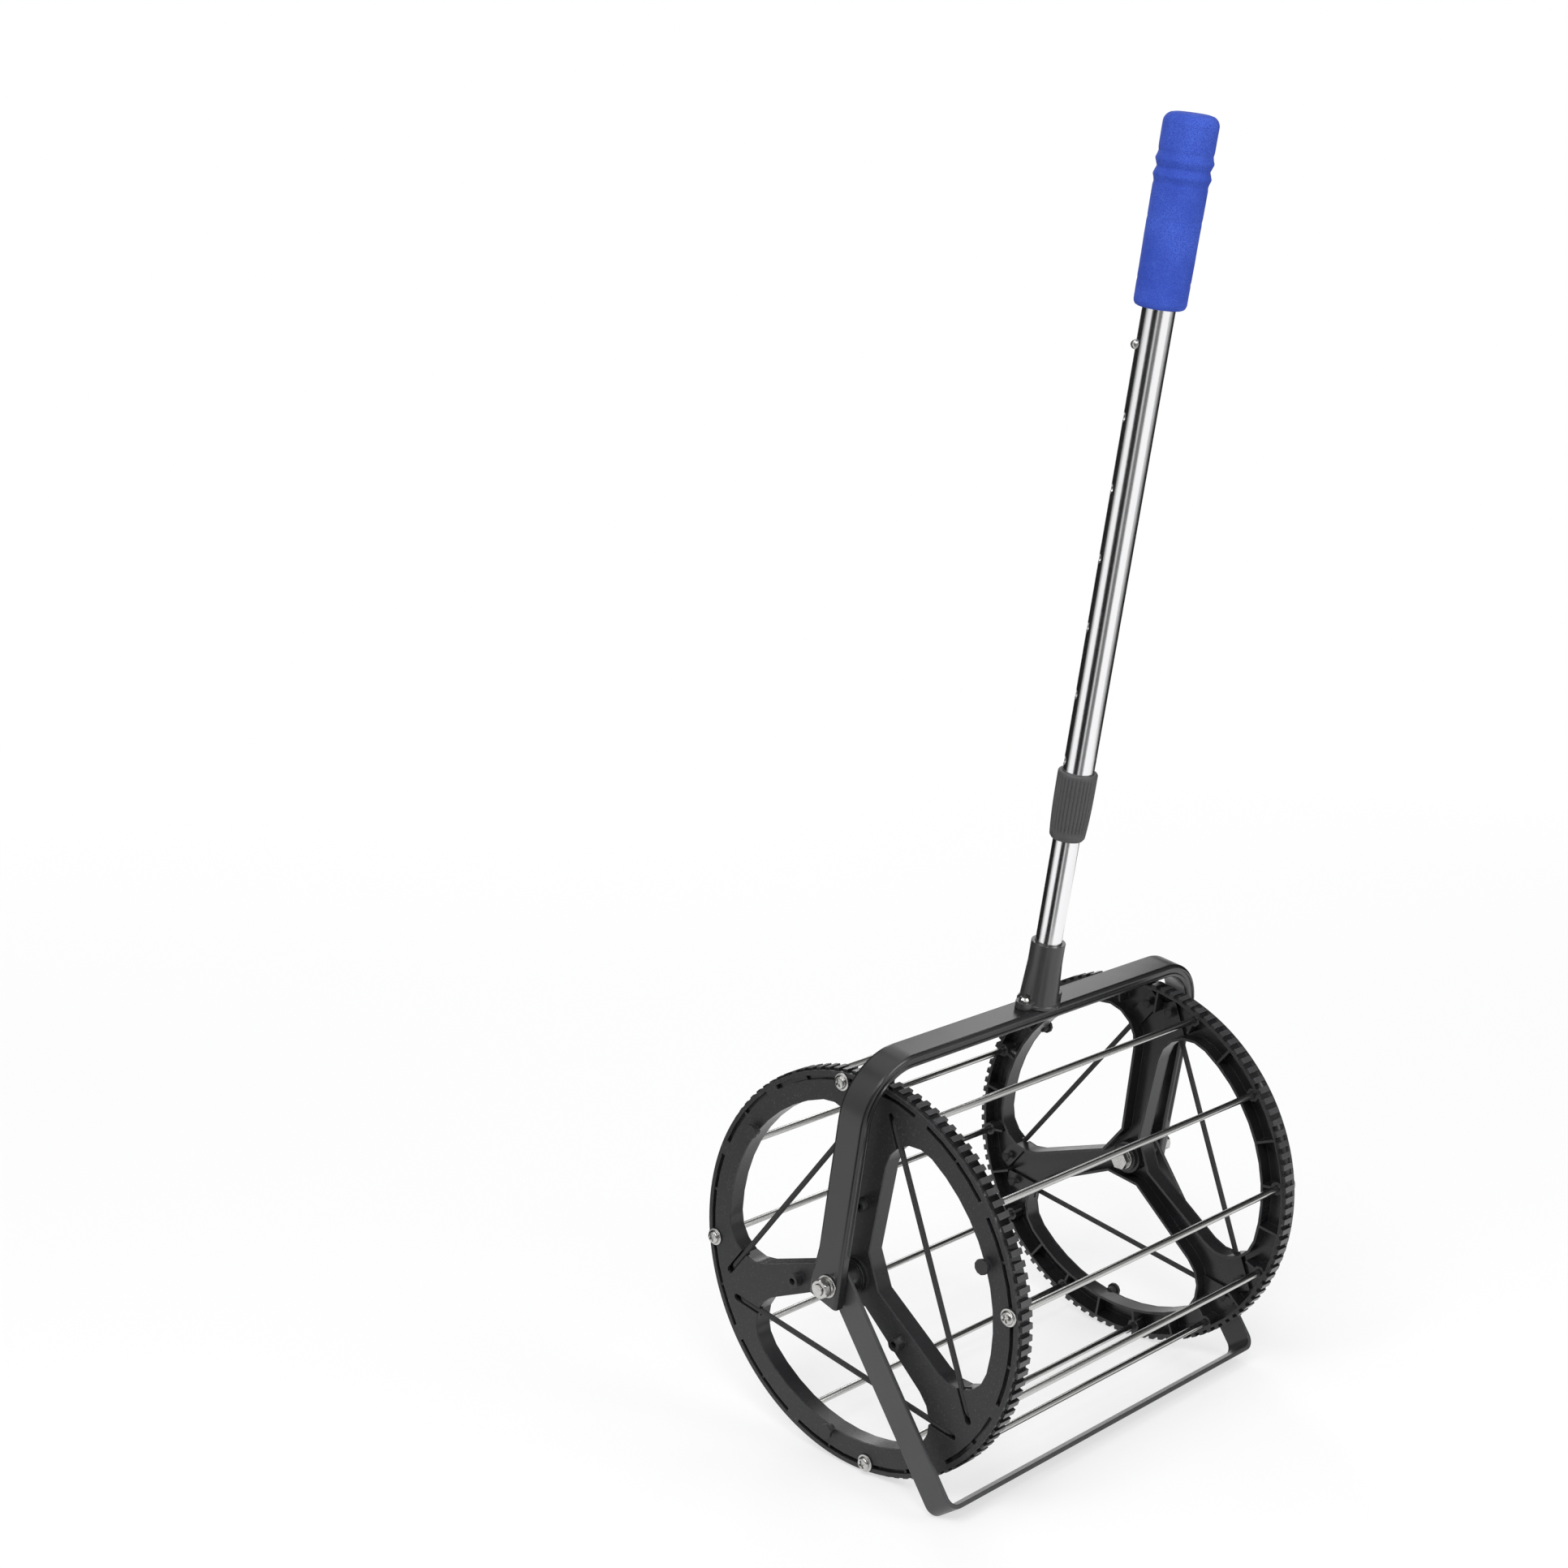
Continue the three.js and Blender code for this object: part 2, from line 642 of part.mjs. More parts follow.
function yokeBody() {
  const bow = bowOutline(yokeInner, yokeOuter, yokeReach, yokeThickness, yokeCorner, 0);
  const raised = shift(facingY(solid(chamferedSlab(bow, yokeWidth, yokeEdge))), 0, -yokeOffset, 0);
  const bar = raised.mirror([0, 0, 1]);
  const inset = (yokeThickness - yokeGrooveWidth) / 2;
  const groove = bowOutline(yokeInner + inset, yokeOuter - inset, yokeReach - inset, yokeGrooveWidth,
    yokeCorner - inset, -yokeEndHeight);
  const grooveCut = facingY(solid(slab(groove, 0, yokeGrooveDepth + overrun))).mirror([0, 0, 1]);
  const half = yokeWidth / 2;
  const grooves = [shift(grooveCut, 0, half + overrun - yokeOffset, 0),
    shift(grooveCut, 0, yokeGrooveDepth - half - yokeOffset, 0)];
  const ends = [1, -1].map((side) => onSide(yokeEnd(), side));
  const bore = rod(boltHoleRadius, yokeInner - overrun, yokeOuter + overrun, tubeFacets);
  const bores = [1, -1].map((side) => onSide(bore, side));
  const under = yokeReach - yokeThickness;
  const screwHoles = [1, -1].map((side) => rod(socketScrewDiameter / 2 + clearance, under - overrun,
    yokeReach + overrun, rodFacets, side * socketEarOffset, -yokeOffset));
  return cut(join([cut(bar, grooves), ...ends]), [...bores, ...screwHoles]);
}

// Everything below is drawn along the pole, with the axle at height 0
function socketBody() {
  const base = yokeReach + clearance;
  const top = yokeReach + socketHeight;
  const body = turned([[0, base], [socketFootDiameter / 2, base],
    [socketFootDiameter / 2, base + socketFootHeight / 2],
    [socketBaseDiameter / 2, base + socketFootHeight],
    [socketTopDiameter / 2, top - socketHeight * socketTaperShare],
    [socketTopDiameter / 2, top], [0, top]]);
  const ears = [1, -1].map((side) => rod(socketEarDiameter / 2, base, base + socketEarHeight, smallFacets,
    side * socketEarOffset));
  const webs = block(-socketEarOffset, socketEarOffset, -socketEarDiameter / 2, socketEarDiameter / 2,
    base, base + socketEarHeight);
  const bore = rod(innerTubeDiameter / 2 + clearance, socketFloorHeight(), top + overrun, tubeFacets);
  const screwHoles = [1, -1].map((side) => rod(socketScrewDiameter / 2 + clearance, base - overrun,
    base + socketEarHeight + overrun, rodFacets, side * socketEarOffset));
  const seats = [1, -1].map((side) => rod(socketScrewHeadDiameter / 2 + clearance, base + socketEarHeight,
    base + socketEarHeight + socketScrewHeadHeight + overrun, smallFacets, side * socketEarOffset));
  return cut(join([body, ...ears, webs]), [bore, ...screwHoles, ...seats]);
}

function socketFloorHeight() {
  return yokeReach + socketFloor;
}

function socketScrew(side) {
  const under = yokeReach + 2 * clearance + socketEarHeight;
  const head = turned([[0, under], [socketScrewHeadDiameter / 2, under],
    [socketScrewHeadDiameter / 2, under + socketScrewHeadHeight * screwHeadSideShare],
    [socketScrewHeadDiameter / 2 * screwHeadCrownShare, under + socketScrewHeadHeight],
    [0, under + socketScrewHeadHeight]], smallFacets);
  const shank = rod(socketScrewDiameter / 2, yokeReach - socketScrewReach, under + overrun, rodFacets);
  return shift(join([head, shank]), side * socketEarOffset, 0, 0);
}

function innerTube() {
  const from = socketFloorHeight() + clearance;
  const body = tube(innerTubeDiameter / 2, innerTubeDiameter / 2 - tubeWall, from, innerTubeTop);
  const buttonHole = alongY(rod(holeDiameter / 2, 0, innerTubeDiameter));
  return spin(cut(body, [shift(buttonHole, 0, 0, buttonHeight)]), buttonTurn);
}

function outerTube() {
  const from = collarHeight + collarLip + clearance;
  const to = gripHeight + gripLength - gripTopWall - clearance;
  const body = tube(outerTubeDiameter / 2, outerTubeDiameter / 2 - tubeWall, from, to);
  const hole = alongY(rod(holeDiameter / 2, 0, outerTubeDiameter));
  const levels = Array.from({ length: holeCount }, (_, k) => buttonHeight - k * holePitch);
  const holes = levels.map((level) => shift(hole, 0, 0, level));
  return spin(cut(body, holes), buttonTurn);
}

// Ribbed sleeve round the outer tube's end, with a lip that closes on the inner tube
function collarBody() {
  const radius = collarDiameter / 2;
  const pitch = 2 * Math.PI / collarRibCount;
  const outline = [];
  for (let k = 0; k < collarRibCount; k += 1) {
    const half = pitch * collarRibShare / 2;
    for (const [r, angle] of [[radius - collarRibDepth, k * pitch - half], [radius, k * pitch - half / 2],
      [radius, k * pitch + half / 2], [radius - collarRibDepth, k * pitch + half]]) {
      outline.push(new THREE.Vector2(r * Math.cos(angle), r * Math.sin(angle)));
    }
  }
  const top = collarHeight + collarLength;
  const ribs = solid(slab(outline, collarHeight + collarNeck, top - collarLip));
  const core = turned([[0, collarHeight], [radius - 2 * collarRibDepth, collarHeight],
    [radius - collarRibDepth / 2, collarHeight + collarNeck], [radius - collarRibDepth, top - collarNeck],
    [radius, top - collarLip], [radius, top - collarRibDepth], [radius - collarRibDepth, top], [0, top]]);
  const wide = rod(outerTubeDiameter / 2 + clearance, collarHeight + collarLip, top + overrun, tubeFacets);
  const narrow = rod(innerTubeDiameter / 2 + clearance, collarHeight - overrun, top, tubeFacets);
  return cut(ribs.add(core), [wide, narrow]);
}

// Soft sleeve with a closed crown and two raised rings
function gripBody() {
  const top = gripHeight + gripLength;
  const bottomRadius = gripDiameter / 2;
  const topRadius = gripTopDiameter / 2;
  const radiusAt = (share) => bottomRadius + (topRadius - bottomRadius) * share;
  const profile = [[0, gripHeight], [bottomRadius - gripRingHeight, gripHeight],
    [bottomRadius, gripHeight + gripRingLength / 2]];
  for (const share of gripRingShares) {
    const level = gripHeight + gripLength * share;
    profile.push([radiusAt(share), level - gripRingLength / 2], [radiusAt(share) + gripRingHeight, level],
      [radiusAt(share), level + gripRingLength / 2]);
  }
  profile.push([topRadius, top - gripCrown]);
  for (const [across, rise] of gripCrownShares) {
    profile.push([topRadius * across, top - gripCrown + gripCrown * rise]);
  }
  profile.push([0, top]);
  const bore = rod(outerTubeDiameter / 2 + clearance, gripHeight - overrun, top - gripTopWall, tubeFacets);
  return cut(turned(profile), [bore]);
}

// Spring button: a domed pin through both tubes, turned round the pole, flanged inside the inner tube
function buttonBody() {
  const innerBore = innerTubeDiameter / 2 - tubeWall;
  const flangeRadius = buttonFlangeDiameter / 2;
  const flangeTop = Math.sqrt(innerBore ** 2 - flangeRadius ** 2) - buttonFlangeGap;
  const tip = outerTubeDiameter / 2 + buttonProud;
  const radius = buttonDiameter / 2;
  const dome = buttonDomeShares.map(([across, drop]) => [radius * across, tip - radius * drop]);
  const flangeFoot = flangeTop - buttonFlangeHeight;
  const body = turned([[0, flangeFoot], [flangeRadius, flangeFoot], [flangeRadius, flangeTop],
    [radius, flangeTop], ...dome, [0, tip]], smallFacets);
  return spin(shift(alongY(body), 0, 0, buttonHeight), buttonTurn);
}

// Bent leaf spring behind the button, resting on the far wall of the inner tube
function buttonSpring() {
  const innerBore = innerTubeDiameter / 2 - tubeWall;
  const flangeRadius = buttonFlangeDiameter / 2;
  const flangeTop = Math.sqrt(innerBore ** 2 - flangeRadius ** 2) - buttonFlangeGap;
  const front = flangeTop - buttonFlangeHeight - clearance;
  const back = -Math.sqrt(innerBore ** 2 - (springWidth / 2) ** 2) + clearance;
  const bend = (front - back) / 2;
  const middle = (front + back) / 2;
  const outer = arc(0, 0, bend, 0, -Math.PI, 8);
  const inner = arc(0, 0, bend - springStrip, -Math.PI, 0, 8);
  const rise = springLength + springEndRise;
  const outline = [new THREE.Vector2(bend, rise), ...outer, new THREE.Vector2(-bend, rise),
    new THREE.Vector2(springStrip - bend, rise), ...inner, new THREE.Vector2(bend - springStrip, rise)];
  const strip = turn(solid(slab(outline, -springWidth / 2, springWidth / 2)),
    new THREE.Vector3(0, 1, 0), up, X);
  return spin(shift(strip, 0, middle, buttonHeight - springLength), buttonTurn);
}

// Hollow guide plug pressed into the inner tube's top
function guidePlug() {
  const bore = innerTubeDiameter / 2 - tubeWall - clearance;
  const rim = innerTubeDiameter / 2;
  const from = innerTubeTop - plugInsert;
  const top = innerTubeTop + clearance + plugHeight;
  return cut(rod(bore, from, top, tubeFacets).add(rod(rim, innerTubeTop + clearance, top, tubeFacets)),
    [rod(bore - plugWall, from - overrun, innerTubeTop, tubeFacets)]);
}

function poleParts() {
  const pole = new THREE.Group();
  pole.position.y = -yokeOffset;
  pole.add(piece("handle_socket", socketBody(), paint));
  pole.add(piece("socket_screw_left", socketScrew(-1), zinc));
  pole.add(piece("socket_screw_right", socketScrew(1), zinc));
  pole.add(piece("inner_tube", innerTube(), steel));
  pole.add(piece("guide_plug", guidePlug(), paint));
  pole.add(piece("button_spring", buttonSpring(), zinc));
  pole.add(piece("snap_button", buttonBody(), steel));
  pole.add(piece("outer_tube", outerTube(), steel));
  pole.add(piece("collar", collarBody(), paint));
  pole.add(piece("grip", gripBody(), foam));
  return pole;
}

// The yoke and everything on it leans as one
function frameParts() {
  const frame = new THREE.Group();
  frame.rotation.x = yokeLean;
  frame.add(piece("yoke", yokeBody(), paint), poleParts());
  return frame;
}

function kickstandPart() {
  const stand = piece("kickstand", kickstandBody(), paint);
  stand.rotation.x = kickstandAngle;
  return stand;
}

const collector = new THREE.Group();
collector.add(...drumParts(), frameParts(), kickstandPart());
collector.add(...axleParts("left", -1), ...axleParts("right", 1));

// The origin goes to the middle of the box, on the ground
collector.updateMatrixWorld(true);
const box = new THREE.Box3().setFromObject(collector, true);
const middle = box.getCenter(new THREE.Vector3());
collector.position.set(-middle.x, -middle.y, -box.min.z);
collector.updateMatrixWorld(true);

export default collector;
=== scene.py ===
# %% [markdown]
# # A tennis ball collector, dressed in Blender
# The real thing is a drum of steel rods between two moulded wheels. It rolls over the
# balls, which squeeze in between the rods. A black bow carries the drum, a chromed pole
# with a foam grip stands on the bow, and a flat steel bow underneath props it all up.
#
# The shapes and joints come packed from the CAD. We load them first, as a fixed frame:
# every piece that we make below rides on one of its bodies and keeps its real place.

# %% The packed model
import json
import math

import bmesh
import bpy
import numpy as np
from mathutils import Matrix, Vector


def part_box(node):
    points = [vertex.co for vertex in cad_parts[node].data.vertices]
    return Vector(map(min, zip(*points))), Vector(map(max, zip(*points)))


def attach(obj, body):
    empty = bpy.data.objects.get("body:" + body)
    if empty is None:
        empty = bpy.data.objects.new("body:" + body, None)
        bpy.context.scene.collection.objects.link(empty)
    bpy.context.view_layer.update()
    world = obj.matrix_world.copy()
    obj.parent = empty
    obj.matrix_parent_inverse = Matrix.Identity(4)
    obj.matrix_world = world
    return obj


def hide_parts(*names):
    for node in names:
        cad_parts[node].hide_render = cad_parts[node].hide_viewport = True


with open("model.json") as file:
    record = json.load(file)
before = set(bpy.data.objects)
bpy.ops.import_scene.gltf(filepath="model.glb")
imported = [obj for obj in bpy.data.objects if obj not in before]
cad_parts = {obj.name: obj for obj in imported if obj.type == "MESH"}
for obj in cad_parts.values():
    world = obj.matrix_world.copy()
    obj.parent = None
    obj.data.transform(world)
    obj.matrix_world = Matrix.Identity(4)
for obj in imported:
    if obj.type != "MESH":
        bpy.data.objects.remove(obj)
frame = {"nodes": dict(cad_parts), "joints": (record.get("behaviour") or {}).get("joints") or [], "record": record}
nodes = frame["nodes"]
joints = {joint["name"]: joint for joint in frame["joints"]}
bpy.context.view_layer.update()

# %% [markdown]
# ## Where things are
# Two straight lines carry nearly every round piece: the axle, and the leaning pole.
# We read both from the joints, so nothing here has to be fitted by eye. To find how far
# a piece reaches along such a line, we project its corners onto the line.

# %% The axle, the pole and a way to measure along them
mm = 0.001
axle = Vector(joints["drum_roll"]["pos_m"])
along_axle = Vector((1, 0, 0))
pole_foot = Vector(joints["pole_slide"]["pos_m"])
pole = Vector(joints["pole_slide"]["axis"]).normalized()
lean = math.atan2(-pole.y, pole.z)


def corners(node):
    return np.array([vertex.co for vertex in nodes[node].data.vertices])


def reach(node, foot, axis):
    """Where a node starts and ends along an axis, and how far it stands from it."""
    offset = corners(node) - np.array(foot)
    height = offset @ np.array(axis)
    across = np.linalg.norm(offset - np.outer(height, axis), axis=1)
    return height.min(), height.max(), across.max()


def middle(node):
    low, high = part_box(node)
    return (low + high) / 2


print("axle at", tuple(axle), "pole leans", round(math.degrees(lean), 1), "degrees")

# %% [markdown]
# ## The camera
# The photograph looks down a little at the collector's front left. Its lens and place
# were worked out from the two wheel rims, which are circles of one known size.

# %% Camera
camera_place = (-1.3406, -1.0779, 0.8451)
camera_down = math.radians(12.46)
camera_turn = math.radians(-45.74)
camera_lens = 57.01


def linked(name, data):
    """A new object in the scene, for a mesh, a lamp or a camera."""
    thing = bpy.data.objects.new(name, data)
    bpy.context.scene.collection.objects.link(thing)
    return thing


lens = bpy.data.cameras.new("camera")
lens.sensor_width = 36
lens.lens = camera_lens
camera = linked("camera", lens)
camera.location = camera_place
camera.rotation_euler = (math.pi / 2 - camera_down, 0, camera_turn)
bpy.context.scene.camera = camera
bpy.context.scene.view_settings.view_transform = "Standard"
print("camera", camera_place, "lens", camera_lens, "mm")

# %% [markdown]
# ## Shader maths as plain Python
# A material is a small circuit of nodes. Adding nodes by hand is slow to read, so we wrap
# a socket in a class: `a * 0.5 + b` then adds the Math nodes for us. Every other kind of
# node comes from one method, which takes its settings first and its inputs after.

# %% The socket class
class Wire:
    """A value on a node's output socket."""

    def __init__(self, tree, socket=None):
        self.tree = tree
        self.socket = socket

    def node(self, kind, settings=None, inputs=None, output=0):
        """Any node: its type, its settings, then a value or a link for each input."""
        node = self.tree.nodes.new("ShaderNode" + kind)
        for name, value in (settings or {}).items():
            setattr(node, name, value)
        for name, value in (inputs or {}).items():
            if isinstance(value, Wire):
                self.tree.links.new(value.socket, node.inputs[name])
            else:
                node.inputs[name].default_value = value
        return Wire(self.tree, node.outputs[output]) if node.outputs else None

    def maths(self, operation, first, second=0.0):
        return self.node("Math", {"operation": operation}, {0: first, 1: second})

    def vector(self, operation, second=(0, 0, 0), output=0):
        return self.node("VectorMath", {"operation": operation}, {0: self, 1: second}, output)

    def part(self, axis):
        return self.node("SeparateXYZ", None, {"Vector": self}, axis)

    def __add__(self, other):
        return self.maths("ADD", self, other)

    def __sub__(self, other):
        return self.maths("SUBTRACT", self, other)

    def __rsub__(self, other):
        return self.maths("SUBTRACT", other, self)

    def __mul__(self, other):
        return self.maths("MULTIPLY", self, other)

    def __truediv__(self, other):
        return self.maths("DIVIDE", self, other)

    def __abs__(self):
        return self.maths("ABSOLUTE", self)

    def above(self, level):
        return self.maths("GREATER_THAN", self, level)

    __radd__ = __add__
    __rmul__ = __mul__


print("Wire can", [name for name in vars(Wire) if name.startswith("__r")])

# %% [markdown]
# A few helpers cover what the finishes share: noise, a blend of two colours, and the
# rounded edge that every real part has. The Bevel node rounds the normal near an edge
# without touching the mesh, so sharp CAD edges catch the light.

# %% Helpers for the materials
bevel_samples = 4


def stretched(place, scale, turn):
    inputs = {"Vector": place, "Rotation": turn}
    return place.node("Mapping", {"vector_type": "TEXTURE"}, inputs).vector("MULTIPLY", scale)


def noise(place, scale, detail, roughness):
    inputs = {"Vector": place, "Scale": scale, "Detail": detail, "Roughness": roughness}
    return place.node("TexNoise", None, inputs)


def blend(factor, dark, light):
    return factor.node("Mix", {"data_type": "RGBA"}, {0: factor, 6: dark, 7: light}, output=2)


def span(value, low, high):
    return value.node("MapRange", {"clamp": True}, {"Value": value, "From Min": low, "From Max": high})


def rounded(place, radius):
    return place.node("Bevel", {"samples": bevel_samples}, {"Radius": radius})


def own_normal(wire):
    return wire.node("NewGeometry", output="Normal")


# The finishes use this band to paint edges lighter: a painted highlight on the wheels, the bow and the socket, and
# paint wearing through on the kickstand.
def edges(soft_normal):
    """Near 1 along the edges, where the rounded normal leaves the flat one."""
    same = soft_normal.vector("DOT_PRODUCT", own_normal(soft_normal), "Value")
    return span(1 - same, 0.02, 0.2)


def bump(height, depth, normal=None):
    inputs = {"Height": height, "Distance": depth, "Normal": normal or own_normal(height)}
    return height.node("Bump", None, inputs)


def finish(name, build, **constants):
    """A Principled material. build gives colour, roughness and normal, constants the others."""
    material = bpy.data.materials.new(name)
    material.use_nodes = True
    tree = material.node_tree
    surface = tree.nodes["Principled BSDF"]
    for socket, value in constants.items():
        surface.inputs[socket.replace("_", " ")].default_value = value
    place = Wire(tree).node("TexCoord", output="Object")
    for socket, value in zip(("Base Color", "Roughness", "Normal"), build(place)):
        tree.links.new(value.socket, surface.inputs[socket])
    print("material", name, "has", len(tree.nodes), "nodes")
    return material


print("a rounded edge takes", bevel_samples, "samples")

# %% [markdown]
# ## Black wheel plastic
# The wheels are moulded in black plastic. The outer face has a fine spark-eroded grain,
# and the inner side is smooth and shiny, as moulds often are. So we mask by place: only
# what lies at the drum's two outer faces gets the grain. A second mask takes what lies
# furthest from the axle and paints the tops of the teeth pale: a painted highlight, for
# the glint of light on them. Every edge is painted lighter too: a painted highlight.

# %% Wheel plastic
face_x = 162.5 * mm
grained_depth = 1.5 * mm
wheel_radius = reach("wheel_right", axle, along_axle)[2]


def wheel_plastic(place):
    across = place.vector("SUBTRACT", axle).vector("MULTIPLY", (0, 1, 1))
    radius = across.vector("LENGTH", output="Value")
    grained = abs(place.part("X")).above(face_x - grained_depth)
    # Painted highlight: the tops of the teeth are painted pale, for their glint.
    tooth_glint = span(radius, wheel_radius - 0.9 * mm, wheel_radius - 0.2 * mm)
    soft = rounded(place, 0.5 * mm)
    edge_band = edges(soft)
    grain = noise(place, 1500, 3, 0.65)
    cloud = noise(place, 45, 3, 0.6)
    dust = span(noise(place, 900, 1, 0.5), 0.62, 0.74) * grained
    shade = blend(cloud, (0.009, 0.009, 0.0100, 1), (0.017, 0.017, 0.0185, 1))
    # Painted highlight: every edge is painted lighter.
    edge_lightened = blend(edge_band * (0.35 + cloud * 0.6), shade, (0.075, 0.075, 0.078, 1))
    dusty = blend(dust * 0.55, edge_lightened, (0.085, 0.085, 0.09, 1))
    tooth_glinted = blend(tooth_glint * (0.3 + cloud * 0.9), dusty, (0.095, 0.095, 0.098, 1))
    rough = 0.2 + grained * 0.26 + cloud * 0.12 + dust * 0.1
    relief = grain * grained + cloud * 0.4
    return tooth_glinted, rough, bump(relief, 0.09 * mm, soft)


black_wheel = finish("wheel_plastic", wheel_plastic)

# %% [markdown]
# ## Satin plastic for the bow and the handle socket
# The bow has no grain. It shows long soft reflections that wobble a little, because a
# thick moulding sinks as it cools. A broad shallow noise gives that wobble. Its edges are
# painted lighter: a painted highlight. The socket is the same plastic, painted a shade
# lighter: painted light, for the brighter light that falls on it.

# %% Satin plastic
def satin_plastic(dark, light):
    def build(place):
        soft = rounded(place, 0.8 * mm)
        edge_band = edges(soft)
        sink = noise(place, 18, 2, 0.5)
        skin = noise(place, 700, 2, 0.5)
        shade = blend(sink, dark, light)
        # Painted highlight: the edges are painted lighter.
        edge_lightened = blend(edge_band * (0.2 + skin * 0.5), shade, (0.07, 0.07, 0.073, 1))
        relief = sink + skin * 0.01
        return edge_lightened, 0.18 + skin * 0.05 + sink * 0.06, bump(relief, 0.35 * mm, soft)
    return build


bow_satin = satin_plastic((0.008, 0.008, 0.009, 1), (0.013, 0.013, 0.014, 1))
# Painted light: the socket gets lighter colours of the same plastic, for the brighter light that falls on it.
socket_satin_painted_lighter = satin_plastic((0.030, 0.030, 0.031, 1), (0.044, 0.044, 0.045, 1))
black_frame = finish("frame_plastic", bow_satin, Specular_IOR_Level=0.65)
socket_painted_lighter = finish("socket_plastic_painted_lighter", socket_satin_painted_lighter)

# %% [markdown]
# ## Painted steel of the kickstand
# Flat bar with a dark grey satin paint. Paint leaves a fine orange peel, and it wears
# through to a lighter tone along the edges that touch the ground.

# %% Stand paint
def stand_paint(place):
    soft = rounded(place, 0.5 * mm)
    edge_band = edges(soft)
    peel = noise(place, 480, 2, 0.5)
    cloud = noise(place, 30, 3, 0.6)
    shade = blend(cloud, (0.034, 0.034, 0.0355, 1), (0.050, 0.050, 0.052, 1))
    edge_lightened = blend(edge_band * span(cloud, 0.4, 0.7) * 0.7, shade, (0.16, 0.16, 0.16, 1))
    return edge_lightened, 0.27 + cloud * 0.14, bump(peel, 0.03 * mm, soft)


stand_finish = finish("stand_metal", stand_paint)

# %% [markdown]
# ## Polished tube and rods
# Drawn steel tube has hair-fine lines along its length. We squeeze a noise across the
# tube and stretch it along, then use it for a little roughness and a shallow bump.
# The pole leans, so its noise is turned by the same lean first.

# %% Polished steel, along the pole and along the rods
def drawn_steel(scale, turn, dark, light):
    def build(place):
        lines = noise(stretched(place, scale, turn), 1, 3, 0.6)
        cloud = noise(place, 22, 3, 0.6)
        tone = blend(lines * 0.6 + cloud * 0.4, dark, light)
        return tone, 0.11 + lines * 0.12 + cloud * 0.05, bump(lines, 0.006 * mm)
    return build


pole_lines = drawn_steel((2600, 2600, 14), (lean, 0, 0), (0.84, 0.84, 0.85, 1), (0.97, 0.97, 0.98, 1))
rod_lines = drawn_steel((10, 2200, 2200), (0, 0, 0), (0.46, 0.46, 0.45, 1), (0.64, 0.64, 0.62, 1))
pole_steel = finish("polished_steel", pole_lines, Metallic=1.0)
rod_steel = finish("rod_steel", rod_lines, Metallic=1.0)

# %% [markdown]
# ## Bright plated fasteners
# Screws and nuts are nickel plated. They are tumbled before plating, so the shine is
# broken by small dents and stays dull in the corners. Here the dents are drawn, and the
# dullness comes in random patches.

# %% Nickel plate
def nickel_plate(place):
    soft = rounded(place, 0.3 * mm)
    dents = noise(place, 900, 3, 0.6)
    stain = noise(place, 260, 2, 0.6)
    tone = blend(stain, (0.40, 0.39, 0.37, 1), (0.70, 0.70, 0.69, 1))
    return tone, 0.16 + stain * 0.2, bump(dents, 0.03 * mm, soft)


nickel = finish("plated_steel", nickel_plate, Metallic=1.0)

# %% [markdown]
# ## Braided cover of the elastic cords
# An elastic cord is rubber in a braided sleeve. Two sets of yarns wind round it in
# opposite directions. Each cord below gets a UV map with turns round it in U and
# metres along it in V, and two crossing waves on that map draw the braid.

# %% Braid
yarns_round = 8
yarn_pitch = 5 * mm


def braid(place):
    uv = place.node("UVMap", {"uv_map": "round_and_along"})
    round_it = uv.part("X") * yarns_round
    along_it = uv.part("Y") / yarn_pitch
    one_way = round_it.maths("SINE", (round_it + along_it) * (2 * math.pi))
    other_way = round_it.maths("SINE", (round_it - along_it) * (2 * math.pi))
    yarn = round_it.maths("MAXIMUM", one_way, other_way) * 0.5 + 0.5
    fluff = noise(place, 2400, 3, 0.7)
    tone = blend(yarn * 0.7 + fluff * 0.3, (0.006, 0.006, 0.006, 1), (0.030, 0.030, 0.031, 1))
    return tone, 0.6 + fluff * 0.25, bump(yarn + fluff * 0.4, 0.12 * mm)


elastic_cover = finish("elastic", braid)

# %% [markdown]
# ## Blue foam
# The grip is closed-cell foam. Cutting its skin opens tiny cells, so it looks dull and
# full of fine pits, with paler patches where hands rub it. Where the pits sink, they are
# painted darker: painted shade. A low specular level keeps its edges deep blue instead
# of pale.

# %% Foam
def blue_foam(place):
    cells = place.node("TexVoronoi", None, {"Vector": place, "Scale": 1100})
    cloud = noise(place, 28, 4, 0.6)
    pits = noise(place, 1700, 2, 0.6)
    shade = blend(span(cloud, 0.36, 0.64), (0.028, 0.068, 0.37, 1), (0.054, 0.113, 0.51, 1))
    # Painted shade: where the pit noise is low and the bump sinks, the foam is painted darker.
    pit_shaded = blend(span(pits, 0.35, 0.6), (0.018, 0.040, 0.32, 1), shade)
    relief = cells * 0.5 + pits * 0.5
    return pit_shaded, 0.78 + cloud * 0.14, bump(relief, 0.10 * mm)


foam = finish("foam", blue_foam, Specular_IOR_Level=0.25)

# %% [markdown]
# ## Dark grey collar
# The clamp collar is a softer, greyer plastic than the bow, with a dry matt touch.

# %% Collar plastic
def collar_plastic(place):
    skin = noise(place, 1200, 3, 0.6)
    cloud = noise(place, 60, 2, 0.5)
    shade = blend(cloud, (0.048, 0.048, 0.050, 1), (0.068, 0.068, 0.070, 1))
    return shade, 0.5 + skin * 0.15, bump(skin, 0.05 * mm)


grey_collar = finish("collar_plastic", collar_plastic)

# %% [markdown]
# ## Tools that make the meshes
# Most of the metal is turned: a profile spun round a line. We write the profile as
# points of radius and height, ease its corners with small curves, and spin it. A nut
# is the same, with its radius held inside a hexagon. The bow and the cords are rings in
# a row instead, so a second tool skins those.

